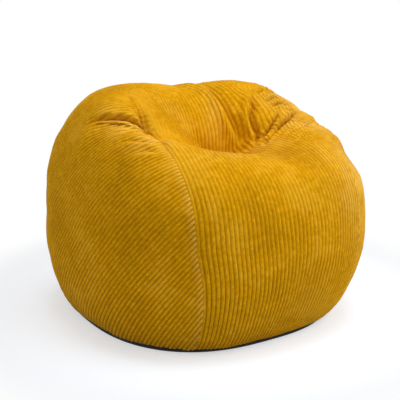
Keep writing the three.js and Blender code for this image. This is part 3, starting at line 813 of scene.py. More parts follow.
class DiscChart:
    """Turn and tilt of every place on a side panel's flat pattern.

    A place's distance from the panel's middle is its length along the form there, so the flat
    pattern has polar coordinates of turn and length. Its outline is the seam, or the rim at the
    foot. Straight wales in the pattern run at the angle of the cut.
    """

    def __init__(self, side, turns=720, samples=120):
        self.side = side
        self.turns = turns
        self.turn = np.radians(np.arange(turns + 1) * 360 / turns - 90)
        turn = self.turn[:, None]
        seam = seam_at(turn, side) - SEAM_OVERLAP / 400
        high = np.full_like(seam, math.radians(89.9))
        rim = bisect(high, seam, lambda tilt: above_rim(turn, side * tilt))
        touches = above_rim(turn, side * seam) < 0
        edge = np.where(touches, rim, seam)
        tilt = math.pi / 2 + (edge - math.pi / 2) * np.linspace(0, 1, samples)
        lengths = lengths_along(body_point(direction(turn, side * tilt)))
        self.outline = lengths[:, -1]
        self.tilts = evened(lengths, tilt)

    def polar(self, forward, up):
        """Turn, its place among the turns of the chart, distance from the middle and distance of
        the outline there."""
        turn = np.arctan2(up, forward)
        place = ((np.degrees(turn) + 90) % 360) / 360 * self.turns
        outline = np.interp(place, np.arange(self.turns + 1), self.outline)
        return turn, place, np.hypot(forward, up), outline

    def inside(self, forward, up):
        """How far a place of the pattern lies inside the outline, along its radius."""
        distance, outline = self.polar(forward, up)[2:]
        return outline - distance

    def at(self, forward, up):
        """Turn and signed tilt at places of the pattern."""
        turn, place, distance, outline = self.polar(forward, up)
        column = np.clip(distance / outline, 0, 1) * (self.tilts.shape[1] - 1)
        return turn, self.side * read_table(self.tilts, place, column)

    def chords(self, angle, offsets):
        """Start and end, along the cut's direction, of the straight line at each offset."""
        run = np.array([math.cos(angle), math.sin(angle)])
        rise = np.array([-math.sin(angle), math.cos(angle)])
        reach = self.outline.max() + 20
        sample = np.linspace(-reach, reach, 801)

        def inside_at(along, offset):
            place = along[..., None] * run + offset[..., None] * rise
            return self.inside(place[..., 0], place[..., 1])

        def test(along):
            return inside_at(along, offsets)

        within = inside_at(*np.broadcast_arrays(sample, offsets[:, None])) > 0
        first = within.argmax(1)
        last = len(sample) - 1 - within[:, ::-1].argmax(1)
        start = bisect(sample[first], sample[first - 1], test)
        end = bisect(sample[last], sample[last + 1], test)
        return start, end

    def offset_span(self, angle):
        """Least and greatest offset that the outline reaches across the cut's direction."""
        forward = self.outline * np.cos(self.turn)
        up = self.outline * np.sin(self.turn)
        offset = -forward * math.sin(angle) + up * math.cos(angle)
        return offset.min(), offset.max()


CENTRE = CentreChart()
DISCS = {side: DiscChart(side) for side in (-1, 1)}


def least_around(values, row_step, column_step):
    """Least value within one step of every nth row and column of a grid."""
    rows, columns = values.shape
    least = values[::row_step, ::column_step].copy()
    row = np.arange(0, rows, row_step)
    column = np.arange(0, columns, column_step)
    for row_shift in range(-row_step, row_step + 1):
        for column_shift in range(-column_step, column_step + 1):
            moved_rows = np.clip(row + row_shift, 0, rows - 1)
            moved_columns = np.clip(column + column_shift, 0, columns - 1)
            least = np.minimum(least, values[np.ix_(moved_rows, moved_columns)])
    return least


def drawn_angles(turn, tilt, held):
    """Turns and tilts after the cloth is drawn in to the folds, by the share that held leaves."""
    heading = direction(turn, tilt)
    points = body_point(heading)
    moved = sum(fold.pull(points) for fold in FOLDS if fold.draw)
    radius = body_radius(turn, tilt)[..., None]
    drawn = unit(heading * radius + moved * held[..., None])
    change = np.arctan2(drawn[..., 2], -drawn[..., 1]) - turn
    change = (change + np.pi) % (2 * np.pi) - np.pi
    return turn + change, np.arcsin(np.clip(drawn[..., 0], -1, 1))


def pile_wobble(wale, along):
    """Uneven height of the pile: noise that is longer along a wale than across it."""
    grid = np.stack([wale * 0.8, along / 30, np.zeros_like(along)], -1)
    return 1 + 0.24 * soft_noise(grid, 1.0, 19)


def inner_layer(form, normal, lift, thickness, steps):
    """The inside of a sheet: every nth row and column of the form, moved to the least lift near
    each place, less the sheet's thickness."""
    coarse = (slice(None, None, steps[0]), slice(None, None, steps[1]))
    depth = least_around(lift, *steps) - thickness
    return in_frame(form[coarse] + normal[coarse] * depth[..., None])


def cloth_panel(name, turn, tilt, edge_lift, wales, wale_height, steps, uv, painted_sheen=0):
    """A corduroy panel over a grid of turns and tilts.

    Its base surface is the form, moved along its normal by the folds and by edge_lift. Its wales
    stand wale_height times their profile along the folded surface's own normal.
    """
    form, normal = form_at(turn, tilt)
    lift = fold_lift(form, turn, tilt) + edge_lift
    folded = form + normal * lift[..., None]
    raised = grid_normals(folded)
    raised = raised * np.sign(np.sum(raised * normal, -1, keepdims=True))
    outer = folded + raised * (wale_height * wales)[..., None]
    inner = inner_layer(form, normal, lift, COVER_THICKNESS, steps)
    # the first share is the pale painted sheen, the second painted shade, deeper where the cloth
    # sinks into folds and seam dips
    shares = {
        "Painted sheen": np.clip(painted_sheen_at(form, turn, tilt) + painted_sheen, 0, 1),
        "Crease shade": np.clip(-lift / 18, 0, 1),
    }
    return shell(name, in_frame(outer), normal, inner, uv, shares)


def centre_panel(name, wale_count, wale_height, rows, foot_dip):
    """The strip over front, seat and back, its wales parallel to its two seams."""
    sections = wale_sections(wale_count)
    across, along = np.meshgrid(sections / wale_count, np.linspace(0, 1, rows))
    flat = [across * TYPICAL_PANEL_WIDTH, along * TYPICAL_PANEL_LENGTH, across * 0]
    wander = soft_noise(np.stack(flat, -1), 70.0, 7)
    width = CENTRE.width_at(along[:, 0])[:, None]
    edge_gap = -SEAM_OVERLAP / 2 / width
    held = ease_between(np.minimum(across, 1 - across), 0, 0.06)
    moved = across + 0.0024 * wander * held
    turn, tilt = CENTRE.at(edge_gap + moved * (1 - 2 * edge_gap), along)
    to_seam = np.minimum(across, 1 - across) * width
    to_foot = np.minimum(along, 1 - along) * CENTRE.length
    lift = seam_drop(turn, tilt, to_seam, 4.5) + edge_pinch(to_foot, foot_dip, 7)
    turn, tilt = drawn_angles(
        turn, tilt, ease_between(to_seam, 0, 26) * ease_between(to_foot, 0, 40)
    )
    fade = (0.6 + 0.4 * ease_between(to_seam, 0, 7)) * (0.35 + 0.65 * ease_between(to_foot, 0, 7))
    wales = wale_profile(across * wale_count)
    height = wale_height * fade * pile_wobble(across * wale_count, along * CENTRE.length)
    uv = np.stack([across * wale_count, along * CENTRE.length * MILLIMETRE], -1)
    return cloth_panel(name, turn, tilt, lift, wales, height, (3, PER_WALE), uv)


def disc_panel(name, side, angle, wale_pitch, wale_height, rows):
    """A side panel, its wales straight at the angle of the cut in its flat pattern."""
    chart = DISCS[side]
    low, high = chart.offset_span(angle)
    wale_count = round((high - low) / wale_pitch)
    sections = wale_sections(wale_count)
    offsets = low + 0.1 + (high - low - 0.2) * sections / wale_count
    start, end = chart.chords(angle, offsets)
    share = np.linspace(0, 1, rows)
    share = 0.55 * share + 0.45 * (0.5 - 0.5 * np.cos(np.pi * share))
    along = start + (end - start) * share[:, None]
    offset = np.broadcast_to(offsets, along.shape)
    forward = along * math.cos(angle) - offset * math.sin(angle)
    up = along * math.sin(angle) + offset * math.cos(angle)
    turn, tilt = chart.at(forward, up)
    to_edge = chart.inside(forward, up)
    lift = seam_drop(turn, tilt, to_edge, 4)
    turn, tilt = drawn_angles(turn, tilt, ease_between(to_edge, 0, 30))
    wales = wale_profile(sections)[None, :]
    places = np.broadcast_to(sections, along.shape)
    height = wale_height * (0.8 + 0.2 * ease_between(to_edge, 0, 5)) * pile_wobble(places, along)
    uv = np.stack([places, along * MILLIMETRE], -1)
    # painted sheen on the wale ends beside the seam, most towards the front
    tips = 0.52 * np.exp(-(to_edge / 15) ** 2) * power_hump(np.degrees(turn), 62, 4)
    return cloth_panel(name, turn, tilt, lift, wales, height, (4, PER_WALE), uv, tips)


def plan_outline(height, azimuth):
    """Points of the form at one height over the floor, by azimuth round the vertical."""
    def heading(drop):
        return np.stack([
            np.cos(azimuth) * np.cos(drop), np.sin(azimuth) * np.cos(drop), -np.sin(drop)
        ], -1)

    def test(drop):
        return body_point(heading(drop))[..., 2] - height
    drop = bisect(np.zeros_like(azimuth), np.full_like(azimuth, math.radians(85)), test)
    return body_point(heading(drop))


def base_ease(points, ease, end):
    """Rise of the base over the zip: ease, fading beside the zip line and past its end."""
    beside = ease_between(np.abs(points[..., 1]), *ZIP_EASE_BESIDE)
    from_middle = np.abs(points[..., 0] - FOOT_SHIFT)
    return ease * (1 - beside) * (1 - ease_between(from_middle, end, end + ZIP_EASE_FADE))


def base_half(name, to_front, inset, floor, thickness, ease, slot_end, ease_end, grid):
    """One half of a base: a floor from the zip's slot out to the outline, turned up at the rim."""
    columns, rows = grid
    sign = -1 if to_front else 1
    azimuth = math.pi + np.linspace(0, math.pi, columns) * -sign
    rim = plan_outline(RIM_HEIGHT, azimuth)
    middle = rim.mean(0)
    outward = unit((rim - middle) * np.array([1, 1, 0]))

    def layer(extra):
        outer_line = rim - outward * (RIM_INSET + inset + extra)
        outer_line[:, 2] = floor + extra
        outer_line[:, 1] = sign * np.maximum(np.abs(outer_line[:, 1]), SLOT_GAP / 2)
        root_x = np.linspace(outer_line[0, 0] + 3, outer_line[-1, 0] - 3, columns)
        from_middle = np.abs(root_x - FOOT_SHIFT)
        beyond = ease_between(from_middle, slot_end, slot_end + SLOT_CLOSING)
        edge = SLOT_GAP / 2 + (SLOT_HALF_WIDTH - SLOT_GAP / 2) * (1 - beyond)
        edge = np.minimum(edge, np.maximum(np.abs(outer_line[:, 1]), SLOT_GAP / 2))
        root = np.stack([root_x, sign * edge, np.full(columns, floor + extra)], -1)
        share = np.linspace(0, 1, rows)[:, None, None] ** 1.6
        ground = root + (outer_line - root) * share
        ground[..., 2] += base_ease(ground, ease, ease_end) * (share[..., 0] < 1)
        climb = np.linspace(0, 1, 7)[1:, None, None]
        top = rim - outward * (inset + extra + RIM_EASE)
        top[:, 2] = RIM_HEIGHT - RIM_EASE
        bulge = outward * np.sin(climb * math.pi) * RIM_BULGE
        wall = outer_line + (top - outer_line) * climb + bulge
        wall[..., 1] = sign * np.maximum(np.abs(wall[..., 1]), SLOT_GAP / 2)
        return np.concatenate([ground, wall])

    outer = layer(0)
    inner = layer(thickness)
    down = np.broadcast_to([0.0, 0.0, -1.0], outer.shape)
    cloth = outer[..., :2] * MILLIMETRE
    return shell(name, in_frame(outer), down, in_frame(inner), cloth)


def hidden_lift(form, turn, tilt, to_seam, extra):
    """Lift of a hidden layer: a little below the folds' valleys and the seams' dips, and extra
    below that."""
    dip = seam_drop(turn, tilt, np.maximum(to_seam - 5, 0), 12)
    return np.minimum(fold_lift(form, turn, tilt), 0) * 1.05 + dip * 1.1 - extra


def liner_sheet(name, turn, tilt, to_seam, depth, steps, uv):
    """A sheet of the liner: the form drawn in by its depth and by the seams' pinch."""
    form, normal = form_at(turn, tilt)
    lift = hidden_lift(form, turn, tilt, to_seam, depth)
    outer = in_frame(form + normal * lift[..., None])
    inner = inner_layer(form, normal, lift, LINER_THICKNESS, steps)
    return shell(name, outer, normal, inner, uv)


def liner_centre(name, depth):
    """The liner's centre panel."""
    across, along = np.meshgrid(np.linspace(0.001, 0.999, 85), np.linspace(0.001, 0.999, 361))
    turn, tilt = CENTRE.at(across, along)
    to_seam = np.minimum(across, 1 - across) * TYPICAL_PANEL_WIDTH
    return liner_sheet(name, turn, tilt, to_seam, depth, (3, 3), np.stack([across, along], -1))


def liner_disc(name, side, depth):
    """A side panel of the liner."""
    chart = DISCS[side]
    low, high = chart.offset_span(0.0)
    offsets = np.linspace(low + 0.6, high - 0.6, 145)
    start, end = chart.chords(0.0, offsets)
    along = start + (end - start) * np.linspace(0, 1, 145)[:, None]
    up = np.broadcast_to(offsets, along.shape)
    turn, tilt = chart.at(along, up)
    uv = np.stack([along, up], -1) * MILLIMETRE
    return liner_sheet(name, turn, tilt, chart.inside(along, up), depth, (4, 4), uv)


def closed_body(name, depth, floor):
    """The fill: the form drawn in by a depth and cut flat over the floor, as rings of tilt between
    two poles at the sides."""
    turn, tilt = np.meshgrid(
        np.radians(np.arange(360)), np.radians(np.linspace(-89.5, 89.5, 180))
    )
    form, normal = form_at(turn, tilt)
    to_seam = np.abs(np.abs(tilt) - seam_at(turn, tilt)) * TYPICAL_RADIUS
    lift = hidden_lift(form, turn, tilt, to_seam, depth)
    points = form + normal * lift[..., None]
    least = floor + base_ease(points, FILL_ZIP_EASE, FILL_ZIP_END)
    centre = np.array([FOOT_SHIFT, 0, GIRTH_HEIGHT])
    shrink = np.clip((GIRTH_HEIGHT - least) / np.maximum(GIRTH_HEIGHT - points[..., 2], 1e-6), 0, 1)
    points = centre + (points - centre) * shrink[..., None]
    ring = np.arange(turn.size).reshape(turn.shape)
    after = np.roll(ring, -1, axis=1)
    quads = np.stack([ring[:-1], after[:-1], after[1:], ring[1:]], -1).reshape(-1, 4)
    flat = np.vstack([points.reshape(-1, 3), points[0].mean(0), points[-1].mean(0)])
    first = np.stack([after[0], ring[0], np.full_like(ring[0], ring.size)], -1)
    last = np.stack([ring[-1], after[-1], np.full_like(ring[0], ring.size + 1)], -1)
    faces = [quads, first, last]
    middle = quads[len(quads) // 2]
    facing = np.cross(flat[middle[1]] - flat[middle[0]], flat[middle[2]] - flat[middle[0]])
    if facing @ (flat[middle[0]] - centre) < 0:
        faces = [block[:, ::-1] for block in faces]
    return write_mesh(name, in_frame(flat), faces)


def tape_strip(name, node):
    """A woven zip tape: a strip along the zip with a cord edge at its teeth, a flat woven field
    and a bound outer edge, its section carried along X."""
    low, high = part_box(node)
    to_front = (low.y + high.y) / 2 < ZIP_CENTRE_Y
    near, far = (high.y, low.y) if to_front else (low.y, high.y)
    share = np.linspace(0, 1, 17)
    half = (high.z - low.z) / 2
    thick = half * (0.72 + 0.28 * np.maximum(
        np.exp(-((share - 0.04) / 0.05) ** 2), np.exp(-((share - 0.96) / 0.04) ** 2)
    ))
    place = np.linspace(low.x, high.x, 241)
    middle = (low.z + high.z) / 2
    across, along = np.meshgrid(near + (far - near) * share, place)
    under = np.stack([along, across, np.broadcast_to(middle - thick, along.shape)], -1)
    over = np.stack([along, across, np.broadcast_to(middle + thick, along.shape)], -1)
    down = np.broadcast_to([0.0, 0.0, -1.0], under.shape)
    cloth = np.stack([across, along], -1)
    return shell(name, under, down, over, cloth)


def stitch_rows(name, to_front, level, half_length, pitch):
    """Two rows of stitches beside the zip: a round thread carried along X, whose height over the
    cloth rises as the root of a sine over each stitch and dips into the cloth between stitches."""
    count = round(2 * half_length / pitch) * 6 + 1
    place = np.linspace(-half_length, half_length, count)
    rise = np.sqrt(np.abs(np.sin(np.pi * (place + half_length) / pitch)))
    angle = np.arange(THREAD_SIDES) * 2 * math.pi / THREAD_SIDES
    rows = []
    for away in STITCH_ROWS:
        row = np.empty((count, THREAD_SIDES, 3))
        row[..., 0] = place[:, None] + FOOT_SHIFT
        row[..., 1] = (-away if to_front else away) + THREAD_RADIUS * np.cos(angle)
        row[..., 2] = level + THREAD_RADIUS * (1.1 - 1.5 * rise[:, None] + np.sin(angle))
        rows.append(row)
    points = np.stack(rows)
    ring = np.arange(points[..., 0].size).reshape(points.shape[:-1])
    after = np.roll(ring, -1, axis=2)
    quads = np.stack([ring[:, :-1], after[:, :-1], after[:, 1:], ring[:, 1:]], -1).reshape(-1, 4)
    along = np.broadcast_to(place[:, None], ring.shape)
    around = np.broadcast_to(angle * THREAD_RADIUS, ring.shape)
    cloth = np.stack([around, along], -1).reshape(-1, 2) * MILLIMETRE
    faces = [quads, ring[:, 0, ::-1], ring[:, -1]]
    return write_mesh(
        name, in_frame(points.reshape(-1, 3)), faces, cloth, smooth=[True, False, False]
    )


class NodeTree:
    """Short ways to add and join nodes in a material's or group's tree."""

    def __init__(self, tree):
        self.tree = tree

    def feed(self, node, inputs):
        """Joins a node's inputs to sockets, or sets them to values."""
        for name, value in inputs.items():
            if isinstance(value, bpy.types.NodeSocket):
                self.tree.links.new(value, node.inputs[name])
            else:
                node.inputs[name].default_value = value

    def add(self, kind, inputs=None, **settings):
        """A node with its settings and its inputs."""
        node = self.tree.nodes.new(kind)
        for name, value in settings.items():
            setattr(node, name, value)
        self.feed(node, inputs or {})
        return node

    def math(self, operation, first, second=0.0, third=0.0):
        """The result of a Math node."""
        return self.add(
            "ShaderNodeMath", {0: first, 1: second, 2: third}, operation=operation
        ).outputs[0]

    def times(self, first, second):
        """The product of two values."""
        return self.math("MULTIPLY", first, second)

    def scaled(self, tint, factor):
        """A colour times a factor."""
        return self.add(
            "ShaderNodeVectorMath", {0: tint, "Scale": factor}, operation="SCALE"
        ).outputs[0]

    def remap(self, value, low, high, new_low=0.0, new_high=1.0, smooth=True):
        """A value moved from one range to another, and kept inside it."""
        return self.add(
            "ShaderNodeMapRange",
            {"Value": value, "From Min": low, "From Max": high,
             "To Min": new_low, "To Max": new_high},
            interpolation_type="SMOOTHSTEP" if smooth else "LINEAR",
        ).outputs[0]

    def noise(self, vector, scale, detail=2.0, roughness=0.5):
        """The value of a Noise texture."""
        return self.add(
            "ShaderNodeTexNoise",
            {"Vector": vector, "Scale": scale, "Detail": detail, "Roughness": roughness},
        ).outputs["Fac"]

    def mix(self, share, first, second):
        """A colour between two."""
        return self.add(
            "ShaderNodeMix", {0: share, 6: first, 7: second}, data_type="RGBA"
        ).outputs[2]

    def bump(self, height, strength, distance):
        """The normal of a Bump node."""
        inputs = {"Height": height, "Strength": strength, "Distance": distance}
        return self.add("ShaderNodeBump", inputs).outputs[0]

    def objects(self):
        """Place in the object's own coordinates."""
        return self.add("ShaderNodeTexCoord").outputs["Object"]

    def cloth(self):
        """Place on the cloth, from the piece's own UV map."""
        return self.add("ShaderNodeUVMap", uv_map="Cloth").outputs[0]

    def parts(self, vector):
        """The three parts of a vector."""
        return self.add("ShaderNodeSeparateXYZ", {0: vector}).outputs

    def mottle(self, place, tint, large, small, strength):
        """The shared patches on a colour, with their two scales and their strength."""
        return self.add("ShaderNodeGroup", {
            "Vector": place, "Colour": tint, "Large Scale": large, "Small Scale": small,
            "Strength": strength,
        }, node_tree=mottle_group()).outputs

    def seen(self):
        """1 for rays from the camera, straight, mirrored or through glass, and 0 for the rest."""
        path = self.add("ShaderNodeLightPath").outputs
        indirect = self.math("ADD", path["Is Glossy Ray"], path["Is Transmission Ray"])
        return self.math("MINIMUM", self.math("ADD", path["Is Camera Ray"], indirect), 1.0)


def colour(red, green, blue):
    """A linear colour from the 0 to 255 values that a screen shows."""
    def linear(value):
        share = value / 255
        return share / 12.92 if share <= 0.04045 else ((share + 0.055) / 1.055) ** 2.4
    return (linear(red), linear(green), linear(blue), 1.0)


def new_group(name, inputs, outputs):
    """A shader node group with named sockets, its helper, and its input and output nodes."""
    tree = bpy.data.node_groups.new(name, "ShaderNodeTree")
    for label, kind, value in inputs:
        socket = tree.interface.new_socket(label, in_out="INPUT", socket_type=kind)
        if value is not None:
            socket.default_value = value
    for label, kind in outputs:
        tree.interface.new_socket(label, in_out="OUTPUT", socket_type=kind)
    nodes = NodeTree(tree)
    return tree, nodes, nodes.add("NodeGroupInput"), nodes.add("NodeGroupOutput")


def mottle_group():
    """Soft patches at two sizes: a colour made lighter and darker by a share of itself."""
    found = bpy.data.node_groups.get("Mottle")
    if found:
        return found
    tree, nodes, given, result = new_group(
        "Mottle",
        [("Vector", "NodeSocketVector", None), ("Colour", "NodeSocketColor", None),
         ("Large Scale", "NodeSocketFloat", 8.0), ("Small Scale", "NodeSocketFloat", 40.0),
         ("Strength", "NodeSocketFloat", 0.1)],
        [("Colour", "NodeSocketColor"), ("Patches", "NodeSocketFloat")],
    )
    place = given.outputs["Vector"]
    large = nodes.noise(place, given.outputs["Large Scale"], 3.0)
    small = nodes.noise(place, given.outputs["Small Scale"], 3.0)
    both = nodes.math("MULTIPLY_ADD", large, 0.6, nodes.times(small, 0.4))
    centred = nodes.times(nodes.math("SUBTRACT", both, 0.5), 3.0)
    gain = nodes.math("MULTIPLY_ADD", centred, given.outputs["Strength"], 1.0)
    tinted = nodes.scaled(given.outputs["Colour"], gain)
    nodes.feed(result, {"Colour": tinted, "Patches": both})
    return tree


def weave_group():
    """A plain weave: the height of two sets of threads that pass over each other in turn."""
    found = bpy.data.node_groups.get("Weave")
    if found:
        return found
    tree, nodes, given, result = new_group(
        "Weave",
        [("Vector", "NodeSocketVector", None), ("Threads per metre", "NodeSocketFloat", 1500.0)],
        [("Height", "NodeSocketFloat")],
    )
    place = nodes.parts(given.outputs["Vector"])
    waves = []
    for axis in ("X", "Y"):
        turns = nodes.times(place[axis], given.outputs["Threads per metre"])
        waves.append(nodes.math("SINE", nodes.times(turns, math.pi)))
    height = nodes.math("MULTIPLY_ADD", nodes.times(*waves), 0.5, 0.5)
    nodes.feed(result, {"Height": height})
    return tree


def new_material(name):
    """A material with its Principled shader, and the helper for its nodes."""
    material = bpy.data.materials.new(name)
    material.use_nodes = True
    nodes = NodeTree(material.node_tree)
    shader = material.node_tree.nodes["Principled BSDF"]
    return material, nodes, shader


def corduroy_material(pile_colour, groove_colour, painted_sheen_colour, crown_highlight_colour):
    """Wide-wale cotton corduroy: dark grooves between the wales, pile that leans in soft patches,
    and short fibres that lie along the wales. Light and shade are painted into the colour too: a
    pale painted highlight on the wales' crowns, a pale painted sheen in patches, painted shade in
    the folds' valleys, and grooves painted darker low on the chair than high up."""
    material, nodes, shader = new_material("mustard corduroy")
    place = nodes.parts(nodes.cloth())
    across = nodes.math("FRACT", place["X"])
    from_back = nodes.math("ABSOLUTE", nodes.math("SUBTRACT", across, 0.5))
    groove = nodes.remap(from_back, 0.29, 0.5)
    crown = nodes.remap(from_back, 0.22, 0.02)
    objects = nodes.objects()
    height = nodes.parts(objects)["Z"]

    def grain(per_wale, per_metre, detail):
        drawn_out = nodes.add("ShaderNodeCombineXYZ", {
            "X": nodes.times(place["X"], per_wale), "Y": nodes.times(place["Y"], per_metre),
        })
        return nodes.noise(drawn_out.outputs[0], 1.0, detail, 0.6)

    fibres = grain(6.0, 260.0, 3.0)
    strands = grain(1.7, 80.0, 2.0)
    mottle = nodes.mottle(objects, pile_colour, 7.0, 46.0, 0.2)
    shade = nodes.times(
        nodes.remap(fibres, 0.25, 0.75, 0.9, 1.08), nodes.remap(strands, 0.25, 0.75, 0.87, 1.13)
    )
    streaked = nodes.scaled(mottle["Colour"], shade)
    leaning = mottle["Patches"]
    # random patches of leaning pile: pale ones take the crown highlight colour, dark ones the
    # groove colour
    brushed = nodes.mix(nodes.remap(leaning, 0.5, 0.58, 0.0, 0.3), streaked, crown_highlight_colour)
    brushed = nodes.mix(nodes.remap(leaning, 0.47, 0.39, 0.0, 0.1), brushed, groove_colour)
    # painted highlight: the wales' crowns are mixed towards the crown colour, in speckles along the
    # wales
    tips = nodes.times(crown, nodes.remap(strands, 0.45, 0.75, 0.05, 0.5))
    lightened = nodes.mix(tips, brushed, crown_highlight_colour)
    sheen_share = nodes.add("ShaderNodeAttribute", attribute_name="Painted sheen").outputs["Fac"]
    crease_shade = nodes.add("ShaderNodeAttribute", attribute_name="Crease shade").outputs["Fac"]
    # painted sheen: the pale sheen colour is mixed in by the attribute's share, most on the wales'
    # backs
    painted_sheen = nodes.times(sheen_share, nodes.remap(from_back, 0.44, 0.15, 0.08, 0.72))
    pale = nodes.mix(painted_sheen, lightened, painted_sheen_colour)
    # painted shade by height: the grooves are mixed darker low on the chair and fainter high up
    grooves = nodes.times(groove, nodes.remap(height, 0.08, 0.5, 0.74, 0.26))
    # painted shade: the folds' valleys and seam dips take the groove colour, up to half
    depth = nodes.math("MAXIMUM", grooves, nodes.times(crease_shade, 0.5))
    nodes.feed(shader, {
        "Base Color": nodes.mix(depth, pale, groove_colour),
        "Normal": nodes.bump(fibres, 0.35, 0.0008),
        "Roughness": 0.88,
        "Specular IOR Level": 0.02,
        "Sheen Weight": 0.42,
        "Sheen Roughness": 0.35,
        "Sheen Tint": (1.0, 0.68, 0.12, 1.0),
    })
    return material


def woven_material(name, tint, threads, strength):
    """A plain woven cloth, from its threads' weave, with faint patches."""
    material, nodes, shader = new_material(name)
    weave = nodes.add(
        "ShaderNodeGroup", {"Vector": nodes.cloth(), "Threads per metre": threads},
        node_tree=weave_group(),
    ).outputs["Height"]
    mottle = nodes.mottle(nodes.objects(), tint, 12.0, 90.0, 0.12)
    shade = nodes.remap(weave, 0.0, 1.0, 0.8, 1.1, smooth=False)
    nodes.feed(shader, {
        "Base Color": nodes.scaled(mottle["Colour"], shade),
        "Normal": nodes.bump(weave, strength, 0.0004),
        "Roughness": 0.85,
        "Specular IOR Level": 0.3,
    })
    return material


def moulded_material(name, tint, roughness, metallic=0.0):
    """Moulded resin or cast metal: faint patches in its tint and its gloss, and a fine grain."""
    material, nodes, shader = new_material(name)
    objects = nodes.objects()
    mottle = nodes.mottle(objects, tint, 60.0, 700.0, 0.15)
    rough = nodes.remap(
        mottle["Patches"], 0.3, 0.7, roughness - 0.08, roughness + 0.1, smooth=False
    )
    nodes.feed(shader, {
        "Base Color": mottle["Colour"],
        "Normal": nodes.bump(nodes.noise(objects, 2600.0), 0.15, 0.0001),
        "Roughness": rough,
        "Metallic": metallic,
    })
    return material


def bead_material(tint):
    """Polystyrene beads of about 4 mm: rounded cells, with painted shade, a grey, in the gaps."""
    material, nodes, shader = new_material("polystyrene beads")
    cells = nodes.add(
        "ShaderNodeTexVoronoi", {"Vector": nodes.objects(), "Scale": 240.0}
    ).outputs["Distance"]
    height = nodes.math("SUBTRACT", 1.0, nodes.times(cells, cells))
    nodes.feed(shader, {
        # painted shade: the tint turns grey towards the gaps between the beads
        "Base Color": nodes.mix(nodes.remap(cells, 0.35, 0.7), tint, colour(150, 150, 146)),
        "Normal": nodes.bump(height, 0.9, 0.002),
        "Roughness": 0.6,
    })
    return material


def backdrop_material():
    """A white sweep: a pale floor near the chair that takes its shadow, and white further out."""
    material, nodes, shader = new_material("white sweep")
    tree = material.node_tree
    tree.nodes.remove(shader)
    distance = nodes.add(
        "ShaderNodeVectorMath", {0: nodes.objects()}, operation="LENGTH"
    ).outputs["Value"]
    seen = nodes.seen()
    far = nodes.times(nodes.remap(distance, 0.44, 0.85), seen)
    near = nodes.times(nodes.math("SUBTRACT", 1.0, far), seen)
    floor = nodes.add("ShaderNodeBsdfDiffuse", {"Color": (0.62, 0.665, 0.73, 1.0)})
    lift = nodes.add("ShaderNodeEmission", {
        "Color": (1, 1, 1, 1), "Strength": nodes.times(near, 0.5)
    })
    white = nodes.add("ShaderNodeEmission", {"Color": (1, 1, 1, 1), "Strength": 1.0})
    lifted = nodes.add("ShaderNodeAddShader", {0: floor.outputs[0], 1: lift.outputs[0]})
    shown = nodes.add(
        "ShaderNodeMixShader", {0: far, 1: lifted.outputs[0], 2: white.outputs[0]}
    )
    nodes.feed(tree.nodes["Material Output"], {"Surface": shown.outputs[0]})
    return material


def length_property(name, description, default, least, most):
    """A length in metres, for the panel."""
    return FloatProperty(
        name=name, description=description, default=default, min=least, max=most,
        subtype="DISTANCE", unit="LENGTH",
    )


def colour_property(name, description, red, green, blue):
    """A colour for the panel, from the 0 to 255 values that a screen shows."""
    return FloatVectorProperty(
        name=name, description=description, subtype="COLOR", size=4, min=0.0, max=1.0,
        default=colour(red, green, blue),
    )


class BEANBAG_PG_cover(bpy.types.PropertyGroup):
    """Sizes and colours of the corduroy cover."""

    wale_count: IntProperty(
        name="Wales", description="Wales across the centre panel", default=44, min=12, max=90
    )
    wale_pitch: length_property(
        "Wale pitch", "Width of one wale on the side panels", 0.0109, 0.004, 0.03
    )
    wale_height: length_property(
        "Wale height", "Height of the pile over its grooves", 0.0025, 0.0005, 0.006
    )
    foot_dip: length_property(
        "Dip at the foot", "How far the centre panel dips into the base seam", 0.005, 0.0, 0.02
    )
    cut_angle: FloatProperty(
        name="Angle of the cut", description="Slope of the wales on the side panels",
        default=math.radians(50), subtype="ANGLE", unit="ROTATION",
    )
    pile_colour: colour_property("Pile", "Colour of the pile", 213, 152, 5)
    # painted highlight: the pale colour of the wales' crowns
    crown_highlight_colour: colour_property(
        "Crown highlights", "Colour of the painted highlight on the wales' crowns", 234, 180, 48
    )
    groove_colour: colour_property(
        "Grooves", "Colour of the grooves between the wales", 140, 80, 1
    )
    # painted sheen: the pale colour laid on where the pile catches the light
    painted_sheen_colour: colour_property(
        "Painted sheen on pile", "Colour of the painted sheen on the pile", 242, 197, 96
    )


class BEANBAG_PG_lining(bpy.types.PropertyGroup):
    """Stitch length, and colours of the base, the liner and the beads."""

    stitch_length: length_property(
        "Stitch", "Length of one stitch beside the zip", 0.004, 0.001, 0.01
    )
    base_colour: colour_property("Base", "Colour of the base cloth", 28, 27, 27)
    liner_colour: colour_property("Liner", "Colour of the liner cloth", 226, 223, 215)
    bead_colour: colour_property("Beads", "Colour of the beads", 246, 246, 243)


def aimed(name, data, location, away):
    """A camera or lamp at a place, turned to look against a direction."""
    thing = add_object(name, data)
    thing.location = location
    thing.rotation_mode = "QUATERNION"
    thing.rotation_quaternion = (-away).to_track_quat("-Z", "Y")
    return thing


def dress(piece, body, material, nodes):
    """Gives a piece its body and material, and hides the nodes that it stands for."""
    piece.data.materials.append(material)
    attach(piece, body)
    if nodes:
        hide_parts(*nodes)


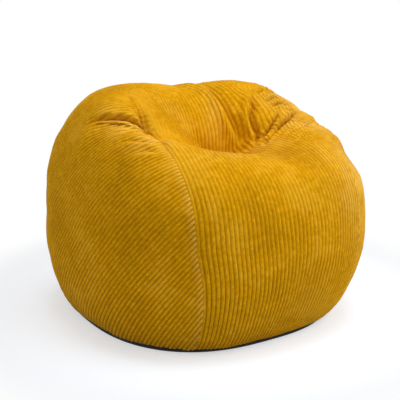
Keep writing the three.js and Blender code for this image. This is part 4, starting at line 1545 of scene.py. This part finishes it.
class BEANBAG_OT_cover_panels(bpy.types.Operator):
    """Makes the centre panel and the two side panels of the corduroy cover."""

    bl_idname = "beanbag.cover_panels"
    bl_label = "Cover panels"

    def execute(self, context):
        sizes = context.scene.beanbag_cover
        cloth = corduroy_material(
            tuple(sizes.pile_colour), tuple(sizes.groove_colour), tuple(sizes.painted_sheen_colour),
            tuple(sizes.crown_highlight_colour),
        )
        height = sizes.wale_height / MILLIMETRE
        pitch = sizes.wale_pitch / MILLIMETRE
        foot_dip = sizes.foot_dip / MILLIMETRE
        centre = centre_panel("centre_panel", sizes.wale_count, height, 481, foot_dip)
        dress(centre, "chair", cloth, ["cover_centre_panel"])
        for label, side in (("left", -1), ("right", 1)):
            panel = disc_panel(
                f"{label}_panel", side, sizes.cut_angle if side < 0 else math.pi - sizes.cut_angle,
                pitch, height, 201,
            )
            dress(panel, "chair", cloth, [f"cover_{label}_panel"])
        return {"FINISHED"}


class BEANBAG_OT_cover_base(bpy.types.Operator):
    """Makes the two halves of the black base."""

    bl_idname = "beanbag.cover_base"
    bl_label = "Base"

    def execute(self, context):
        tint = tuple(context.scene.beanbag_lining.base_colour)
        cloth = woven_material("black base cloth", tint, 900.0, 0.5)
        ease = TAPE_FRONT[0].z / MILLIMETRE - BASE_THICKNESS - LAYER_GAP
        for half, to_front in (("front", True), ("back", False)):
            piece = base_half(
                f"base_{half}", to_front, 0, 0, BASE_THICKNESS, ease, COVER_SLOT_END,
                COVER_EASE_END, (241, 49)
            )
            dress(piece, "chair", cloth, [f"cover_base_{half}"])
        thread = woven_material("black thread", colour(46, 46, 47), 2600.0, 0.5)
        pitch = context.scene.beanbag_lining.stitch_length / MILLIMETRE
        for half, to_front in (("front", True), ("back", False)):
            piece = stitch_rows(f"base_stitches_{half}", to_front, ease, STITCH_END, pitch)
            dress(piece, "chair", thread, [])
        return {"FINISHED"}


class BEANBAG_OT_liner(bpy.types.Operator):
    """Makes the liner's panels and base."""

    bl_idname = "beanbag.liner"
    bl_label = "Liner"

    def execute(self, context):
        tint = tuple(context.scene.beanbag_lining.liner_colour)
        cloth = woven_material("liner cloth", tint, 1400.0, 0.3)
        panels = {
            "centre": liner_centre("liner_centre", LINER_DEPTH),
            "left": liner_disc("liner_left", -1, LINER_DEPTH),
            "right": liner_disc("liner_right", 1, LINER_DEPTH),
        }
        for label, piece in panels.items():
            dress(piece, "chair", cloth, [f"liner_{label}_panel"])
        floor = BASE_THICKNESS + LAYER_GAP
        ease = LINER_TAPE_FRONT[0].z / MILLIMETRE - LINER_THICKNESS - LAYER_GAP - floor
        for half, to_front in (("front", True), ("back", False)):
            piece = base_half(
                f"liner_floor_{half}", to_front, LINER_RIM_INSET, floor, LINER_THICKNESS, ease,
                LINER_SLOT_END, LINER_EASE_END, (161, 33)
            )
            dress(piece, "chair", cloth, [f"liner_base_{half}"])
        return {"FINISHED"}


class BEANBAG_OT_beads(bpy.types.Operator):
    """Makes the bead fill."""

    bl_idname = "beanbag.beads"
    bl_label = "Beads"

    def execute(self, context):
        fill = closed_body("bead_body", FILL_DEPTH, FILL_FLOOR)
        tint = tuple(context.scene.beanbag_lining.bead_colour)
        dress(fill, "chair", bead_material(tint), ["bead_fill"])
        return {"FINISHED"}


class BEANBAG_OT_zips(bpy.types.Operator):
    """Makes the zip tapes, and gives the rows of teeth, stops and sliders their finish."""

    bl_idname = "beanbag.zips"
    bl_label = "Zips"

    def execute(self, context):
        black_tape = woven_material("black zip tape", colour(30, 30, 31), 1700.0, 0.6)
        white_tape = woven_material("white zip tape", colour(208, 206, 198), 1700.0, 0.6)
        for owner, material, slot in (
            ("cover", black_tape, "black_tape"), ("liner", white_tape, "white_tape")
        ):
            for half in ("front", "back"):
                node = f"{owner}_zip_tape_{half}"
                dress(tape_strip(f"{owner}_tape_{half}", node), "chair", material, [node])
        finishes = {
            "cover_zip_teeth": moulded_material("black resin", colour(24, 24, 25), 0.4),
            "liner_zip_teeth": moulded_material("white resin", colour(226, 224, 216), 0.4),
            "stop": moulded_material("dull zinc", colour(150, 151, 153), 0.42, 1.0),
        }
        for name, node in frame["nodes"].items():
            kind = name[:15] if name[:15] in finishes else "stop"
            if "teeth" in name or "stop" in name or "slider" in name:
                node.data.materials.clear()
                node.data.materials.append(finishes[kind])
        return {"FINISHED"}


class BEANBAG_OT_stage(bpy.types.Operator):
    """Makes the white sweep, the soft lights and the camera."""

    bl_idname = "beanbag.stage"
    bl_label = "Stage"

    def execute(self, context):
        scene = context.scene
        scene.view_settings.view_transform = "Standard"
        azimuth = math.radians(VIEW_AZIMUTH)
        elevation = math.radians(VIEW_ELEVATION)
        right = Vector((math.cos(azimuth), math.sin(azimuth), 0))
        away = Vector((
            math.sin(azimuth) * math.cos(elevation),
            -math.cos(azimuth) * math.cos(elevation),
            math.sin(elevation),
        ))
        middle = Vector((FORM_SHIFT[0], FORM_SHIFT[1], VIEW_TARGET_HEIGHT))
        target = middle + right * VIEW_SIDE_SHIFT

        place = target + away * VIEW_DISTANCE
        camera = aimed("Camera", bpy.data.cameras.new("Camera"), place, away)
        camera.data.sensor_width = SENSOR_WIDTH
        camera.data.lens = VIEW_FOCAL_PIXELS * SENSOR_WIDTH / VIEW_PIXELS
        camera.data.clip_start = 0.05
        camera.data.clip_end = 200
        scene.camera = camera

        forward = Vector((away.x, away.y, 0)).normalized()
        lamps = [
            ("Key", right * 2.3 + forward * 0.8 + Vector((0, 0, 1.7)), 2.6, 44),
            ("Fill", right * -2.4 + forward * 1.3 + Vector((0, 0, 1.3)), 2.2, 13),
            ("Top", right * 0.3 + forward * -0.2 + Vector((0, 0, 2.9)), 2.4, 52),
        ]
        for name, place, size, power in lamps:
            lamp = aimed(name, bpy.data.lights.new(name, "AREA"), middle + place, place)
            lamp.data.shape = "DISK"
            lamp.data.size = size
            lamp.data.energy = power

        world = bpy.data.worlds.new("Studio")
        scene.world = world
        world.use_nodes = True
        nodes = NodeTree(world.node_tree)
        strength = nodes.remap(nodes.seen(), 0, 1, AMBIENT_STRENGTH, 1.0, smooth=False)
        nodes.feed(world.node_tree.nodes["Background"], {
            "Color": (1, 1, 1, 1), "Strength": strength
        })

        corner = np.arange(FLOOR_SIDES)
        turn = corner * 2 * math.pi / FLOOR_SIDES
        ring = np.stack([np.cos(turn), np.sin(turn), np.zeros(FLOOR_SIDES)], -1) * FLOOR_RADIUS
        ring[:, 2] = -FLOOR_DROP
        floor = write_mesh("floor", ring, [corner[None, :]], smooth=[False])
        floor.data.materials.append(backdrop_material())
        return {"FINISHED"}


class BEANBAG_PT_panel(bpy.types.Panel):
    """Lists the chair's sizes, colours and pieces."""

    bl_idname = "BEANBAG_PT_panel"
    bl_label = "Bean bag chair"
    bl_space_type = "VIEW_3D"
    bl_region_type = "UI"
    bl_category = "Bean bag"

    def draw(self, context):
        layout = self.layout
        for group in (context.scene.beanbag_cover, context.scene.beanbag_lining):
            box = layout.box()
            for name in group.__annotations__:
                box.prop(group, name)
        for operator in OPERATORS:
            layout.operator(operator.bl_idname)


OPERATORS = (
    BEANBAG_OT_cover_panels,
    BEANBAG_OT_cover_base,
    BEANBAG_OT_liner,
    BEANBAG_OT_beads,
    BEANBAG_OT_zips,
    BEANBAG_OT_stage,
)
CLASSES = (BEANBAG_PG_cover, BEANBAG_PG_lining, BEANBAG_PT_panel) + OPERATORS


def register():
    """Registers the classes, and the sizes and colours on the scene."""
    for kind in CLASSES:
        bpy.utils.register_class(kind)
    bpy.types.Scene.beanbag_cover = PointerProperty(type=BEANBAG_PG_cover)
    bpy.types.Scene.beanbag_lining = PointerProperty(type=BEANBAG_PG_lining)


def unregister():
    """Takes the classes and the scene's values away again."""
    del bpy.types.Scene.beanbag_lining
    del bpy.types.Scene.beanbag_cover
    for kind in reversed(CLASSES):
        bpy.utils.unregister_class(kind)


def main():
    """Registers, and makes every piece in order."""
    register()
    bpy.ops.beanbag.cover_panels()
    bpy.ops.beanbag.cover_base()
    bpy.ops.beanbag.liner()
    bpy.ops.beanbag.beads()
    bpy.ops.beanbag.zips()
    bpy.ops.beanbag.stage()


if __name__ == "__main__":
    main()
